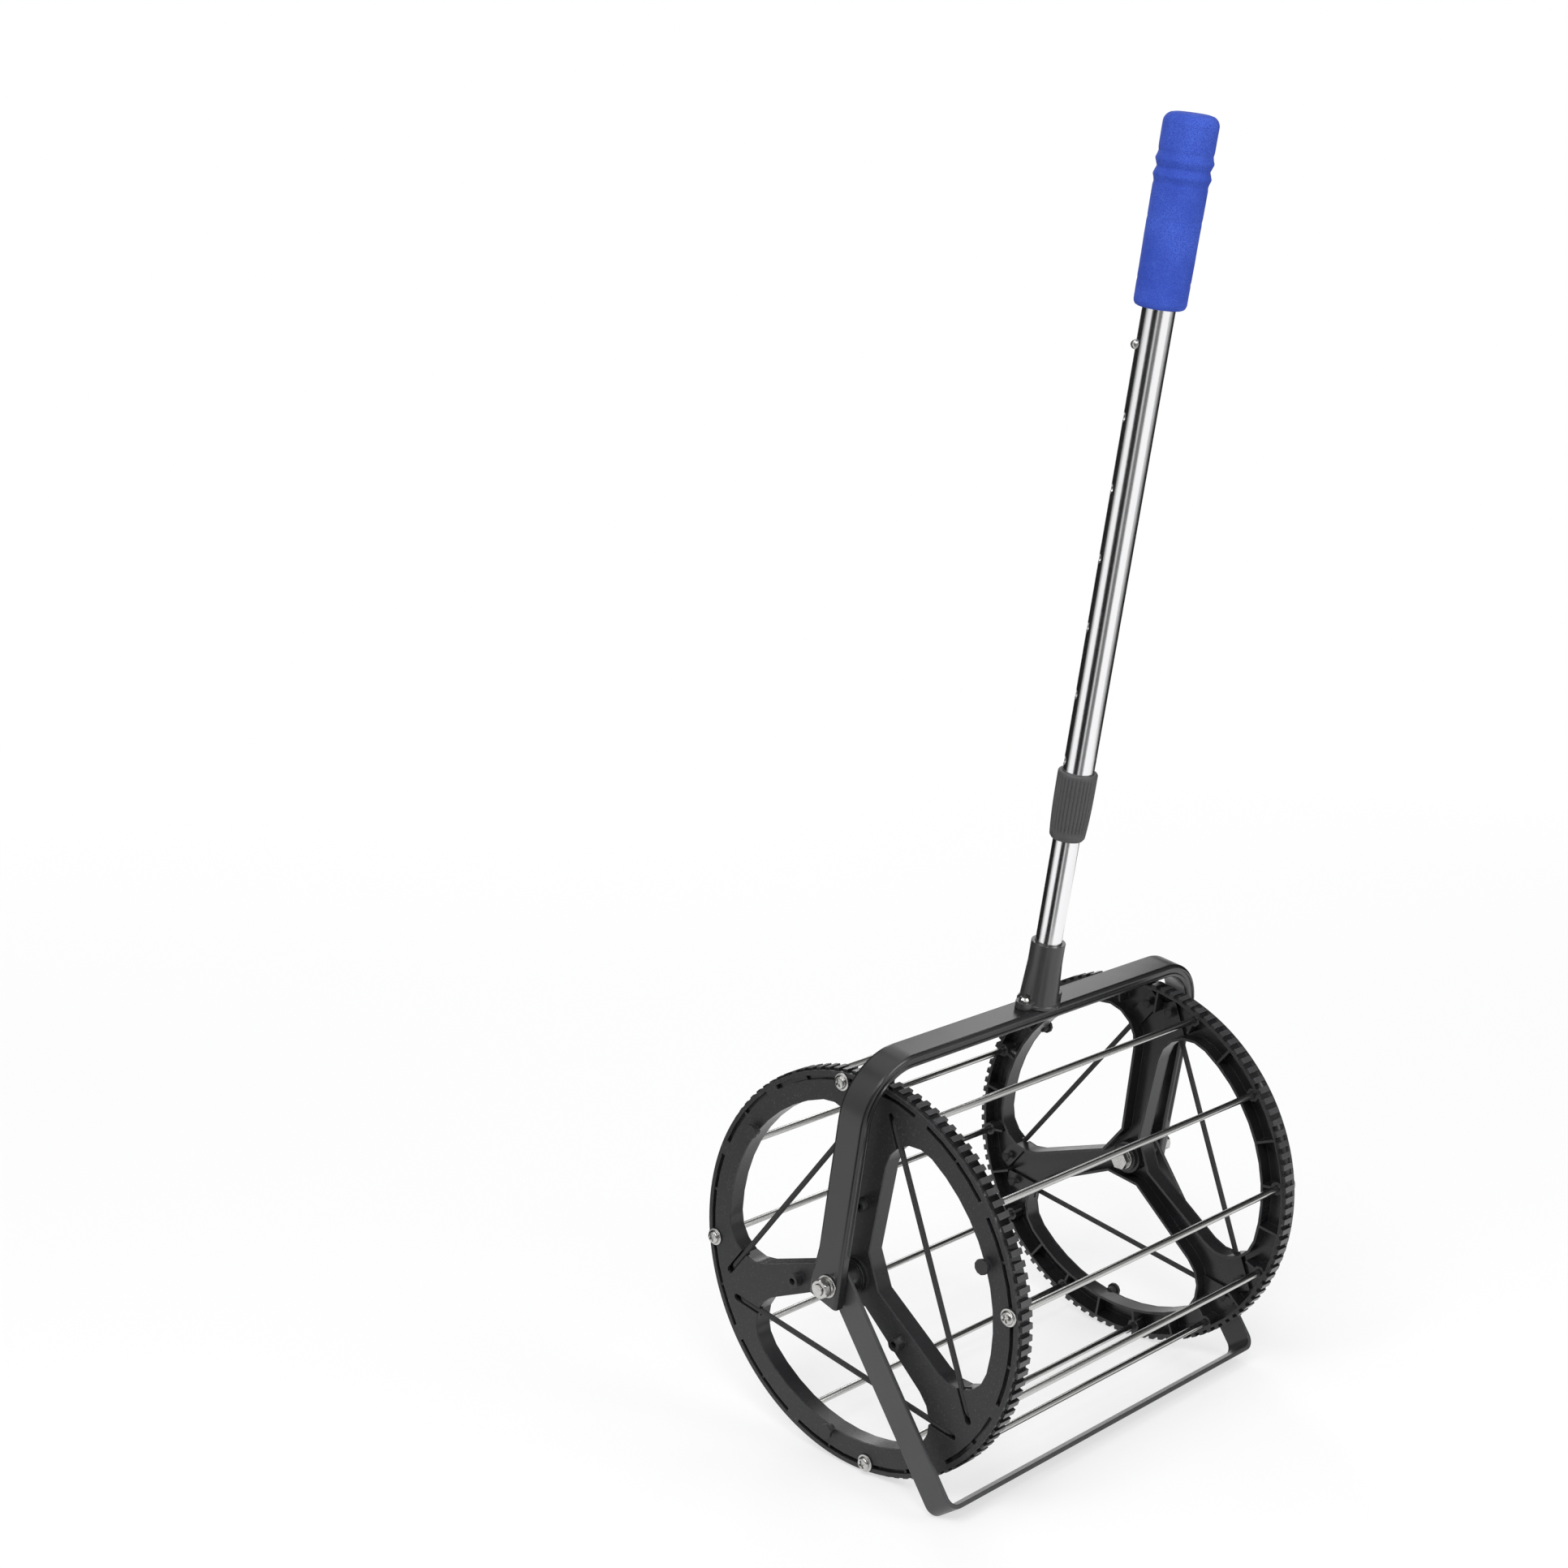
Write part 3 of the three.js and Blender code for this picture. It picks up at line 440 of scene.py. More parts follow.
# %% Turned and swept pieces
def eased(profile, ease):
    """Replaces each sharp corner of a closed profile by a short curve."""
    smooth = []
    for k, point in enumerate(profile):
        before = Vector(profile[k - 1])
        after = Vector(profile[(k + 1) % len(profile)])
        here = Vector(point)
        if here.x < 1e-6:
            smooth.append(here)
            continue
        back = here.lerp(before, min(0.45, ease / max((before - here).length, 1e-9)))
        on = here.lerp(after, min(0.45, ease / max((after - here).length, 1e-9)))
        for t in (0, 0.33, 0.67, 1):
            smooth.append(back * (1 - t) ** 2 + here * 2 * t * (1 - t) + on * t ** 2)
    return smooth


def as_mesh(form, name, turn_out=True):
    """Ends a bmesh: its faces turn outwards, and it becomes a mesh."""
    if turn_out:
        bmesh.ops.recalc_face_normals(form, faces=form.faces)
    mesh = bpy.data.meshes.new(name)
    form.to_mesh(mesh)
    form.free()
    return mesh


def frame_at(foot, axis):
    """A matrix that stands Z on the axis at its foot."""
    return Matrix.Translation(foot) @ Vector(axis).to_track_quat("Z", "Y").to_matrix().to_4x4()


def sharpened(mesh, sharp=35):
    """Smooth shading, broken at edges sharper than an angle in degrees."""
    mesh.shade_smooth()
    mesh.set_sharp_from_angle(angle=math.radians(sharp))


def new_piece(name, mesh, material, body, *replaced, sharp=35):
    mesh.materials.clear()
    mesh.materials.append(material)
    sharpened(mesh, sharp)
    piece = linked(name, mesh)
    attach(piece, body)
    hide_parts(*replaced)
    return piece


def spun(name, profile, foot, axis, segments=72, flats=None, radius_at=None):
    """A mesh of the profile spun round the axis."""
    form = bmesh.new()
    rings = []
    for radius, height in profile:
        if radius < 1e-6:
            rings.append([form.verts.new((0, 0, height))])
            continue
        ring = []
        for k in range(segments):
            angle = 2 * math.pi * k / segments
            r = radius
            if flats:
                from_flat = (angle + math.pi / 6) % (math.pi / 3) - math.pi / 6
                r = min(r, flats / 2 / math.cos(from_flat))
            if radius_at:
                r = radius_at(r, angle, height)
            ring.append(form.verts.new((r * math.cos(angle), r * math.sin(angle), height)))
        rings.append(ring)
    for k, lower in enumerate(rings):
        upper = rings[(k + 1) % len(rings)]
        for i in range(segments):
            j = (i + 1) % segments
            quad = [ring[n % len(ring)] for ring, n in ((lower, i), (lower, j), (upper, j), (upper, i))]
            face = list(dict.fromkeys(quad))
            if len(face) > 2:
                form.faces.new(face)
    mesh = as_mesh(form, name)
    mesh.transform(frame_at(foot, axis))
    return mesh


def turned(node, profile, foot, axis, material, body, ease, segments=72, flats=None, sharp=35):
    """A spun piece with eased corners, in place of a CAD node."""
    mesh = spun(node + "_turned", eased(profile, ease), foot, axis, segments, flats)
    return new_piece(node + "_turned", mesh, material, body, node, sharp=sharp)


def swept(form, rings):
    """Skins a row of rings and closes its ends. Gives each side face with its ring and side."""
    count = len(rings[0])
    sides = []
    for k, (lower, upper) in enumerate(zip(rings, rings[1:])):
        for i in range(count):
            j = (i + 1) % count
            sides.append((form.faces.new([lower[i], lower[j], upper[j], upper[i]]), k, i))
    form.faces.new(rings[0])
    form.faces.new(rings[-1])
    return sides


print("an eased square corner has", len(eased([(0, 0), (2, 0), (2, 1), (0, 1)], 0.2)), "points")

# %% [markdown]
# Moulded and bent pieces keep their CAD shape, but a real one has no knife edges and no
# facets. We weld a copy, drop the edges between flat triangles, cut it where needed,
# run a narrow bevel along what is sharp, and weight the normals so that flats stay flat.

# %% Softened copies of CAD pieces
weld_gap = 0.002 * mm
flat_angle = 0.3


def applied(piece):
    """Works the modifiers of a piece into its mesh."""
    graph = bpy.context.evaluated_depsgraph_get()
    mesh = bpy.data.meshes.new_from_object(piece.evaluated_get(graph))
    piece.modifiers.clear()
    piece.data = mesh


def carve(piece, tools):
    """Cuts closed tool meshes out of a piece."""
    for tool_mesh in tools:
        tool = linked("tool", tool_mesh)
        cut = piece.modifiers.new("cut", "BOOLEAN")
        cut.object = tool
        cut.solver = "EXACT"
        bpy.context.view_layer.update()
        applied(piece)
        bpy.data.objects.remove(tool)


def evened(piece):
    """Weights the normals by face size, so that flat faces shade flat."""
    even = piece.modifiers.new("even", "WEIGHTED_NORMAL")
    even.keep_sharp = True
    applied(piece)


def softened(node, material, body, bevel=0.0, sharp=35, tools=()):
    form = bmesh.new()
    form.from_mesh(nodes[node].data)
    bmesh.ops.remove_doubles(form, verts=form.verts, dist=weld_gap)
    bmesh.ops.dissolve_limit(form, angle_limit=math.radians(flat_angle), verts=form.verts,
                             edges=form.edges)
    mesh = as_mesh(form, node + "_soft", turn_out=False)
    piece = new_piece(node + "_soft", mesh, material, body, node, sharp=sharp)
    carve(piece, tools)
    sharpened(piece.data, sharp)
    if bevel:
        edge = piece.modifiers.new("edge", "BEVEL")
        edge.width = bevel
        edge.segments = 2
        edge.limit_method = "ANGLE"
        edge.angle_limit = math.radians(sharp)
        edge.use_clamp_overlap = True
    evened(piece)
    print(piece.name, len(piece.data.polygons), "faces")


print("copies are welded at", weld_gap / mm, "mm, and faces within", flat_angle, "degrees join")

# %% [markdown]
# ## The wheels
# Each wheel carries everything else, and is the largest thing in view: a toothed tread,
# a face with three windows, curved slots, ribs behind them and a hub. All of that is in
# the CAD already, so the copy only gets smooth normals and its material. One cut helps:
# the face plate is trimmed to the foot of the teeth, so that they show past its edge.

# %% Wheels
plate_edge = 143.7 * mm
plate_back = 159.3 * mm
trim = 4 * mm
both_sides = (("left", -1), ("right", 1))


def ring_profile(low, high, inner, outer):
    return [(inner, low), (outer, low), (outer, high), (inner, high)]


for side, outwards in both_sides:
    ring = ring_profile(plate_back, plate_back + trim, plate_edge, plate_edge + trim)
    cutter = spun("trim", ring, (0, axle.y, axle.z), along_axle * outwards, segments=180)
    softened(f"wheel_{side}", black_wheel, "drum", sharp=32, tools=[cutter])

# %% [markdown]
# The slots in the face are grooves: nothing shows through them. The CAD leaves them
# open, so we close each one from behind with a thin black floor: twelve arcs on each
# wheel. The strips behind the ends of the elastic cords are made with the cords.

# %% Slot floors
slot_middle = 139.1 * mm
slot_half = 2.0 * mm
slot_depth = 3.05 * mm
floor_thickness = 0.8 * mm
slot_arc = math.radians(12.7)
rod_step = math.radians(30)


def slot_floor(name, outline, outwards, depth):
    """A flat black plate behind the face, from its outline in Y and Z."""
    near = outwards * (face_x - depth)
    far = near - outwards * floor_thickness
    count = len(outline)
    sides = [(k, (k + 1) % count, count + (k + 1) % count, count + k) for k in range(count)]
    form = bmesh.new()
    points = [form.verts.new((x, y, z)) for x in (near, far) for y, z in outline]
    for face in (range(count), range(2 * count - 1, count - 1, -1), *sides):
        form.faces.new([points[i] for i in face])
    new_piece(name, as_mesh(form, name), black_wheel, "drum")


def arc_outline(angle):
    sweep = [angle + slot_arc * t for t in np.linspace(-1, 1, 13)]
    outer = [(slot_middle + slot_half, a) for a in sweep]
    inner = [(slot_middle - slot_half, a) for a in reversed(sweep)]
    return [(axle.y + r * math.cos(a), axle.z + r * math.sin(a)) for r, a in outer + inner]


first_rod = middle("rod_01") - axle
rod_angle = math.atan2(first_rod.z, first_rod.y)
for side, outwards in both_sides:
    for k in range(12):
        outline = arc_outline(rod_angle + (k + 0.5) * rod_step)
        slot_floor(f"slot_floor_{side}_{k + 1}", outline, outwards, slot_depth)
print("slot floors lie", slot_depth / mm, "mm deep")

# %% [markdown]
# ## The moulded bow
# The bow is a thick bar with soft edges, bent over the drum, and its corners hold the
# longest highlights in the picture. We could bevel the CAD bar, but its corners are
# short flats. Instead we sweep one rounded section along the bow, with many steps in
# the corners. The section widens near the axle, and a shallow groove runs along its
# front and back.

# %% Bow
bow_outer = 189.3 * mm
bow_thickness = 10 * mm
bow_reach = 167 * mm
bow_corner = 45 * mm
bow_front = -9.2 * mm
bow_back = 13.8 * mm
end_front = -9.6 * mm
end_back = 16.6 * mm
end_low_front = -16 * mm
end_low_back = -12.6 * mm
end_height = 24 * mm
edge_radius = 2.7 * mm
groove_half = 1.9 * mm
groove_depth = 1.0 * mm


def round_corner(x, y, side_x, side_y):
    """A quarter circle that ends on the face across x, and starts on the face across y."""
    turns = [math.pi / 2 * k / 6 for k in range(7)]
    return [(x - side_x * edge_radius * (1 - math.sin(a)), y - side_y * edge_radius * (1 - math.cos(a)))
            for a in turns]


def groove_line(level, depth, centre):
    """Four points across a groove, from the inner side to the outer side."""
    steps = ((-1, 0), (-0.7, depth), (0.7, depth), (1, 0))
    return [(centre + groove_half * across, level + sunk) for across, sunk in steps]


def bow_section(front, back, groove):
    """The bar's cut face: from its inner to its outer side, and from front to back."""
    inner, outer = bow_outer - bow_thickness, bow_outer
    centre = (inner + outer) / 2
    return [*reversed(round_corner(inner, front, -1, -1)), *groove_line(front, groove, centre),
            *round_corner(outer, front, 1, -1), *reversed(round_corner(outer, back, 1, 1)),
            *reversed(groove_line(back, -groove, centre)), *round_corner(inner, back, -1, 1)]


def bow_ring(section, place):
    """One ring of the sweep: place turns thickness and depth into X and Z."""
    spots = [(depth, place(across - bow_outer, depth)) for across, depth in section]
    return [Vector((x, depth, z)) for depth, (x, z) in spots]


def foot_ring(t, shrink):
    """A ring between the slanting foot of an arm (t = 0) and the axle's height (t = 1)."""
    def place(across, depth):
        share = (depth - end_front) / (end_back - end_front)
        bottom = end_low_front + (end_low_back - end_low_front) * share
        return bow_outer + across - shrink * (2 * across / bow_thickness + 1), bottom * (1 - t)
    return bow_ring(bow_section(end_front + shrink, end_back - shrink, 0.0), place)


def arm_ring(height):
    share = min(1.0, height / end_height)
    front = end_front + (bow_front - end_front) * share
    back = end_back + (bow_back - end_back) * share
    section = bow_section(front, back, groove_depth if height > end_height * 1.1 else 0.0)
    return bow_ring(section, lambda across, depth: (bow_outer + across, height))


def bend_ring(section, angle):
    x, z = bow_outer - bow_corner, bow_reach - bow_corner
    return bow_ring(section, lambda across, depth: (x + (bow_corner + across) * math.cos(angle),
                                                    z + (bow_corner + across) * math.sin(angle)))


def half_bow():
    """Rings up the right arm, round the bend and half way along the bar."""
    section = bow_section(bow_front, bow_back, groove_depth)
    heights = [end_height * t for t in (0.3, 0.6, 0.9, 1.0, 1.12)]
    heights += list(np.linspace(end_height * 1.4, bow_reach - bow_corner, 8))
    rings = [foot_ring(t, shrink * mm) for t, shrink in ((0, 0.75), (0.03, 0.2), (0.4, 0), (1, 0))]
    rings += [arm_ring(height) for height in heights]
    rings += [bend_ring(section, math.pi / 2 * k / 32) for k in range(1, 33)]
    return rings + [bow_ring(section, lambda across, depth, x=x: (x, bow_reach + across))
                    for x in np.linspace(bow_outer - bow_corner, 0, 12)[1:]]


def bow_mesh():
    half = half_bow()
    mirrored = [[Vector((-p.x, p.y, p.z)) for p in ring] for ring in reversed(half[:-1])]
    form = bmesh.new()
    swept(form, [[form.verts.new(p) for p in ring] for ring in half + mirrored])
    mesh = as_mesh(form, "bow")
    mesh.transform(Matrix.Translation(axle) @ Matrix.Rotation(lean, 4, "X"))
    return mesh


bow = new_piece("bow_moulded", bow_mesh(), black_frame, "frame", "yoke", sharp=40)
evened(bow)
print("bow has", len(bow.data.polygons), "faces")

# %% [markdown]
# ## The handle socket and the kickstand
# A bevel of under a millimetre gives these two the thin bright line along each edge
# that the eye looks for.

# %% Handle socket and kickstand
# The socket's finish also paints its edges lighter: a painted highlight beside the bevel's own bright line.
softened("handle_socket", socket_painted_lighter, "frame", bevel=0.3 * mm)
softened("kickstand", stand_finish, "kickstand", bevel=0.5 * mm)

# %% [markdown]
# ## Rods
# Twelve plain round bars, cut off square with a small chamfer. A spun mesh of 48 sides
# stays round in the highlights, where the ten-sided CAD bar would glint in stripes.

# %% Rods
for k in range(1, 13):
    node = f"rod_{k:02d}"
    foot = Vector((0, *middle(node).yz))
    low, high, radius = reach(node, foot, along_axle)
    profile = ring_profile(low, high, 0, radius)
    turned(node, profile, foot, along_axle, rod_steel, "drum", ease=0.5 * mm, segments=48)
print("rods are", round((high - low) / mm, 1), "mm long and", round(2 * radius / mm, 1), "mm thick")

# %% [markdown]
# ## Screws, washers and nuts
# A pan-head screw with a washer face holds every third rod. The cross in its head is
# cut with two bars by a Boolean, since it isn't a turned shape.

# %% Rod screws with a cross recess
head_radius = 4.8 * mm
washer_radius = 6.3 * mm
washer_height = 1.2 * mm
shank_radius = 1.5 * mm
screw_gap = 0.3 * mm
cross_turn = 0.5
cross_length = 0.6
cross_width = 0.16


def cross_cutters(foot, axis, low, high):
    """Two crossing bars, to be cut out of a head between two heights."""
    cutters = []
    for length, width in ((cross_length, cross_width), (cross_width, cross_length)):
        form = bmesh.new()
        bmesh.ops.create_cube(form, size=2)
        for vertex in form.verts:
            x, y, z = vertex.co
            level = low + (high - low) * (z + 1) / 2
            vertex.co = (x * head_radius * length, y * head_radius * width, level)
        cutter = as_mesh(form, "cross")
        cutter.transform(frame_at(foot, axis) @ Matrix.Rotation(cross_turn, 4, "Z"))
        cutters.append(cutter)
    return cutters


def pan_screw(node, foot, axis):
    """Shank, washer face and head of one screw, drawn up its axis."""
    low, high, _ = reach(node, foot, axis)
    shoulder = screw_gap + washer_height
    crown = high - shoulder
    profile = [(0, low), (shank_radius, low), (shank_radius, screw_gap),
               (washer_radius, screw_gap), (washer_radius, shoulder), (head_radius, shoulder),
               (head_radius, shoulder + crown * 0.45), (head_radius * 0.86, shoulder + crown * 0.8),
               (head_radius * 0.5, high), (0, high)]
    piece = turned(node, profile, foot, axis, nickel, "drum", ease=0.35 * mm, segments=48)
    carve(piece, cross_cutters(foot, axis, high - crown * 0.5, high + crown))
    sharpened(piece.data)


for side, outwards in both_sides:
    for k in range(1, 5):
        node = f"rod_screw_{side}_{k}"
        foot = Vector((outwards * face_x, *middle(node).yz))
        pan_screw(node, foot, along_axle * outwards)
print("rod screws stand", round(reach(node, foot, along_axle)[1] / mm, 1), "mm proud")

# %% [markdown]
# The axle fittings stack outwards from the bow: a washer, a split spring washer, a nut
# and the bolt's end. The nut has flats of 13 mm and a chamfer on both faces.

# %% Axle fittings
nut_flats = 13 * mm
nut_chamfer = 1.1 * mm
bore_radius = 4.15 * mm


def nut_profile(low, high):
    corner = nut_flats / 2 / math.cos(math.pi / 6)
    flat = nut_flats / 2 * 0.96
    return [(bore_radius, low), (flat, low), (corner, low + nut_chamfer), (corner, high - nut_chamfer),
            (flat, high), (bore_radius, high)]


for side, outwards in both_sides:
    axis = along_axle * outwards
    for node in (f"outer_washer_{side}", f"inner_washer_{side}"):
        low, high, radius = reach(node, axle, axis)
        profile = ring_profile(low, high, bore_radius, radius)
        turned(node, profile, axle, axis, nickel, "frame", ease=0.25 * mm)
    node = f"axle_nut_{side}"
    low, high, _ = reach(node, axle, axis)
    turned(node, nut_profile(low, high), axle, axis, nickel, "frame", ease=0.2 * mm, segments=96,
           flats=nut_flats, sharp=28)
    softened(f"hub_spacer_{side}", black_frame, "frame", bevel=0.3 * mm)
print("nut flats", nut_flats / mm, "mm")

# %% [markdown]
# ## The telescopic pole
# Two chromed tubes. The reflection in a tube shows every facet, so both are spun with
# 128 sides. After the holes are cut, each corner's normal is worked out again from the
# tube's own axis: that keeps the chrome perfectly even right up to the holes.

# %% Tubes
tube_wall = 1.2 * mm
hole_radius = 3.9 * mm
hole_reach = 20 * mm
hole_pitch = joints["pole_slide"]["range_m"][1] / 6
hole_count = 7
round_within = 25
button_axis = -Vector(joints["button_press"]["axis"]).normalized()
button_height = (middle("snap_button") - pole_foot).dot(pole)


def true_round(mesh):
    """Sets exact round normals where a face lies round the pole, and flat ones elsewhere."""
    normals = []
    for polygon in mesh.polygons:
        for corner in polygon.vertices:
            offset = mesh.vertices[corner].co - pole_foot
            out = (offset - pole * offset.dot(pole)).normalized()
            agrees = out.dot(polygon.normal)
            round_it = abs(agrees) > math.cos(math.radians(round_within))
            normals.append(out * math.copysign(1, agrees) if round_it else polygon.normal.copy())
    mesh.normals_split_custom_set(normals)


def hole_cutter(level):
    foot = pole_foot + pole * level
    return spun("hole", ring_profile(0, hole_reach, 0, hole_radius), foot, button_axis, segments=32)


def tube_piece(node, body, levels):
    low, high, radius = reach(node, pole_foot, pole)
    profile = eased(ring_profile(low, high, radius - tube_wall, radius), 0.3 * mm)
    mesh = spun(node + "_drawn", profile, pole_foot, pole, segments=128)
    piece = new_piece(node + "_drawn", mesh, pole_steel, body, node)
    carve(piece, [hole_cutter(level) for level in levels])
    piece.data.shade_smooth()
    true_round(piece.data)
    print(piece.name, round((high - low) / mm, 1), "mm long,", round(2 * radius / mm, 1), "mm thick")


tube_piece("outer_tube", "upper_pole", [button_height - k * hole_pitch for k in range(hole_count)])
tube_piece("inner_tube", "frame", [button_height])

# %% [markdown]
# ## The snap button
# A spring pushes this small domed pin through both tubes. Only its bright round top
# shows at the edge of the tube.

# %% Snap button
button_foot = pole_foot + pole * button_height
low, high, flange = reach("snap_button", button_foot, button_axis)
button_radius = 3.5 * mm
flange_height = 1 * mm
dome = [(button_radius * math.cos(a), high - button_radius * (1 - math.sin(a)))
        for a in np.linspace(0.15, math.pi / 2, 8)]
dome[-1] = (0, high)
flange_top = low + flange_height
profile = [(0, low), (flange, low), (flange, flange_top), (button_radius, flange_top), *dome]
mesh = spun("snap_button_domed", profile, button_foot, button_axis, segments=48)
new_piece("snap_button_domed", mesh, nickel, "snap_button", "snap_button")
print("the button stands", round(high / mm, 1), "mm from the pole's axis")

# %% [markdown]
# ## The collar
# The collar grips the outer tube's end. Round ribs run along it for the hand, fading at
# both ends, and its lower end draws in to the thinner tube. We add the ribs with a
# formula on the radius, so one spun mesh holds them all.

# %% Collar
low, high, collar_radius = reach("collar", pole_foot, pole)
collar_ribs = 30
rib_depth = 0.85 * mm
inner_radius = reach("inner_tube", pole_foot, pole)[2] + 0.3 * mm
outer_radius = reach("outer_tube", pole_foot, pole)[2] + 0.3 * mm
seat = low + 5 * mm
length = high - low


def ribbed(radius, angle, height):
    share = (height - low) / length
    fade = max(0.0, min(1.0, (share - 0.09) / 0.06, (0.955 - share) / 0.03))
    if radius < outer_radius + 0.8 * mm:
        return radius
    groove = 0.5 - 0.5 * math.cos(collar_ribs * angle)
    return radius - rib_depth * fade * (1 - groove ** 0.5)


outside = [(collar_radius - 2.6 * mm, low), (collar_radius - 1.5 * mm, low + 1.6 * mm)]
outside += [(collar_radius - 1.3 * mm * (1 - t) ** 3, low + length * (0.06 + 0.88 * t))
            for t in np.linspace(0, 1, 40)]
outside += [(collar_radius, high - 1.2 * mm), (collar_radius - 0.5 * mm, high - 0.4 * mm),
            (collar_radius - 1.2 * mm, high)]
inside = [(outer_radius, high), (outer_radius, seat), (inner_radius, seat), (inner_radius, low)]
mesh = spun("collar_ribbed", outside + inside, pole_foot, pole, collar_ribs * 12, radius_at=ribbed)
new_piece("collar_ribbed", mesh, grey_collar, "collar", "collar", sharp=60)
print("collar", round(length / mm, 1), "mm long with", collar_ribs, "ribs")

# %% [markdown]
# ## The foam grip
# The grip is a soft sleeve, pushed over the tube, with two raised rings near the top.
# It could be a cloth simulation, but foam holds its own form: a spun profile with rings,
# creases and slow waves in its radius gives the same look and never changes from run
# to run. The waves are sums of sines, so no seed is needed.

# %% Grip
low, high, widest = reach("grip", pole_foot, pole)
grip_length = high - low
ring_levels = (0.68, 0.76)
ring_rise = 0.9 * mm
ring_half = 2.4 * mm
ring_dip = 0.35 * mm
crease_levels = (0.14, 0.46)
crease_depth = 0.22 * mm
crease_half = 1.1 * mm
foot_radius = 17.4 * mm
top_radius = 18.1 * mm
foot_curve = 4.5 * mm
crown_curve = 7.0 * mm
top_wall = 6 * mm


def grip_radius(height):
    """The sleeve's radius at a height, with its rings, creases and rounded ends."""
    share = (height - low) / grip_length
    radius = foot_radius + (top_radius - foot_radius) * share
    for level in ring_levels:
        away = (height - low - level * grip_length) / ring_half
        dip = ring_dip * math.exp(-(abs(away) - 2) ** 2 * 3)
        radius += ring_rise * math.exp(-away ** 2 * 1.6) - dip
    for level in crease_levels:
        away = (height - low - level * grip_length) / crease_half
        radius -= crease_depth * math.exp(-away ** 2)
    from_foot = min(1.0, (height - low) / foot_curve)
    from_top = min(1.0, (high - height) / crown_curve)
    radius -= foot_curve * 0.62 * (1 - math.sqrt(1 - (1 - from_foot) ** 2))
    radius -= crown_curve * (1 - math.sqrt(max(0.0, 1 - (1 - from_top) ** 2)))
    return radius


def uneven(radius, angle, height):
    if radius < outer_radius + 1 * mm:
        return radius
    wave = math.sin(3 * angle + 90 * height) + 0.6 * math.sin(5 * angle - 210 * height + 1.3)
    ripple = 0.5 * math.sin(2 * angle + 640 * height) * math.sin(130 * height)
    return radius * (1 + 0.0028 * wave + 0.0022 * ripple)


levels = [low + grip_length * t for t in np.linspace(0, 1, 190)]
crown = [(grip_radius(high - 1e-6) * t, high) for t in (0.8, 0.5, 0.2)]
skin = [(grip_radius(level), level) for level in levels] + crown + [(0, high)]
bore = [(0, high - top_wall), (outer_radius, high - top_wall), (outer_radius, low)]
mesh = spun("grip_foam", skin + bore, pole_foot, pole, segments=96, radius_at=uneven)
grip = new_piece("grip_foam", mesh, foam, "upper_pole", "grip", sharp=60)
print("grip", round(grip_length / mm, 1), "mm long, up to", round(2 * widest / mm, 1), "mm thick")

# %% [markdown]
# ## Elastic cords
# Three elastic cords cross the windows of each wheel and keep the balls from rolling
# out. Each is pulled straight, dips into a slot at both ends and is held by a knot
# behind the face. We find its two ends from the CAD cord's knots, and lead a tube
# along a line that turns inwards in a quarter circle at each end.

# %% Cord routes
cord_radius = 2 * mm
turn_radius = 8 * mm
cord_sides = 24


def cord_ends(node, outwards):
    """The two tail lines of a CAD cord, as points at the cord's own level."""
    points = corners(node)
    deep = points[(points[:, 0] * outwards) < (points[:, 0] * outwards).min() + 0.2 * mm]
    spread = deep - deep.mean(0)
    run = np.linalg.svd(spread)[2][0]
    halves = [deep[spread @ run < 0], deep[spread @ run > 0]]
    level = (points[:, 0] * outwards).max() - cord_radius
    return [Vector((level * outwards, *half.mean(0)[1:])) for half in halves]


def quarter_turn(tip, run, inward):
    """Up a tail and round on to the straight."""
    return [tip + run * turn_radius * (1 - math.cos(a)) + inward * turn_radius * (1 - math.sin(a))
            for a in (k * math.pi / 2 / 8 for k in range(9))]


def cord_route(start, end, inward):
    """Up the first tail, round, straight across, round and down the other."""
    run = (end - start).normalized()
    first = quarter_turn(start, run, inward)
    last = quarter_turn(end, -run, inward)[::-1]
    straight = [first[-1].lerp(last[0], t) for t in np.linspace(0, 1, 14)[1:-1]]
    return first + straight + last


def cord_mesh(name, route):
    """A round tube along the route, with a UV map of turns round it and metres along it."""
    form = bmesh.new()
    layer = form.loops.layers.uv.new("round_and_along")
    rings = []
    travelled = [0.0]
    for k, point in enumerate(route):
        heading = (route[min(k + 1, len(route) - 1)] - route[max(k - 1, 0)]).normalized()
        side = heading.cross(Vector((0.1, 0.7, 0.7))).normalized()
        other = heading.cross(side)
        turns = [2 * math.pi * i / cord_sides for i in range(cord_sides)]
        ring = [point + side * cord_radius * math.cos(a) + other * cord_radius * math.sin(a) for a in turns]
        rings.append([form.verts.new(spot) for spot in ring])
        if k:
            travelled.append(travelled[-1] + (point - route[k - 1]).length)
    for face, k, i in swept(form, rings):
        places = [(i, k), (i + 1, k), (i + 1, k + 1), (i, k + 1)]
        for loop, (u, v) in zip(face.loops, places):
            loop[layer].uv = (u / cord_sides, travelled[v])
    return as_mesh(form, name), travelled[-1]


print("a cord turns inwards with a radius of", turn_radius / mm, "mm")

# %% [markdown]
# Behind the face each cord ends in a knot. It could be a knotted tube, but it lies deep
# in the shadow of its slot, so a small lumpy ball with a twist in it does.

# %% Knots
knot_radius = 3.8 * mm
knot_height = 3.4 * mm


def knot(name, place, inward):
    """A flattened overhand knot, drawn as a lumpy ball with a twist in it."""
    profile = [(knot_radius * math.cos(a), knot_height / 2 * math.sin(a))
               for a in np.linspace(-math.pi / 2, math.pi / 2, 14)]
    profile[0], profile[-1] = (0, -knot_height / 2), (0, knot_height / 2)

    def twisted(radius, angle, height):
        return radius * (0.93 + 0.07 * math.sin(3 * angle + height * 900))

    mesh = spun(name, profile, place, inward, segments=36, radius_at=twisted)
    return new_piece(name, mesh, elastic_knot, "drum")


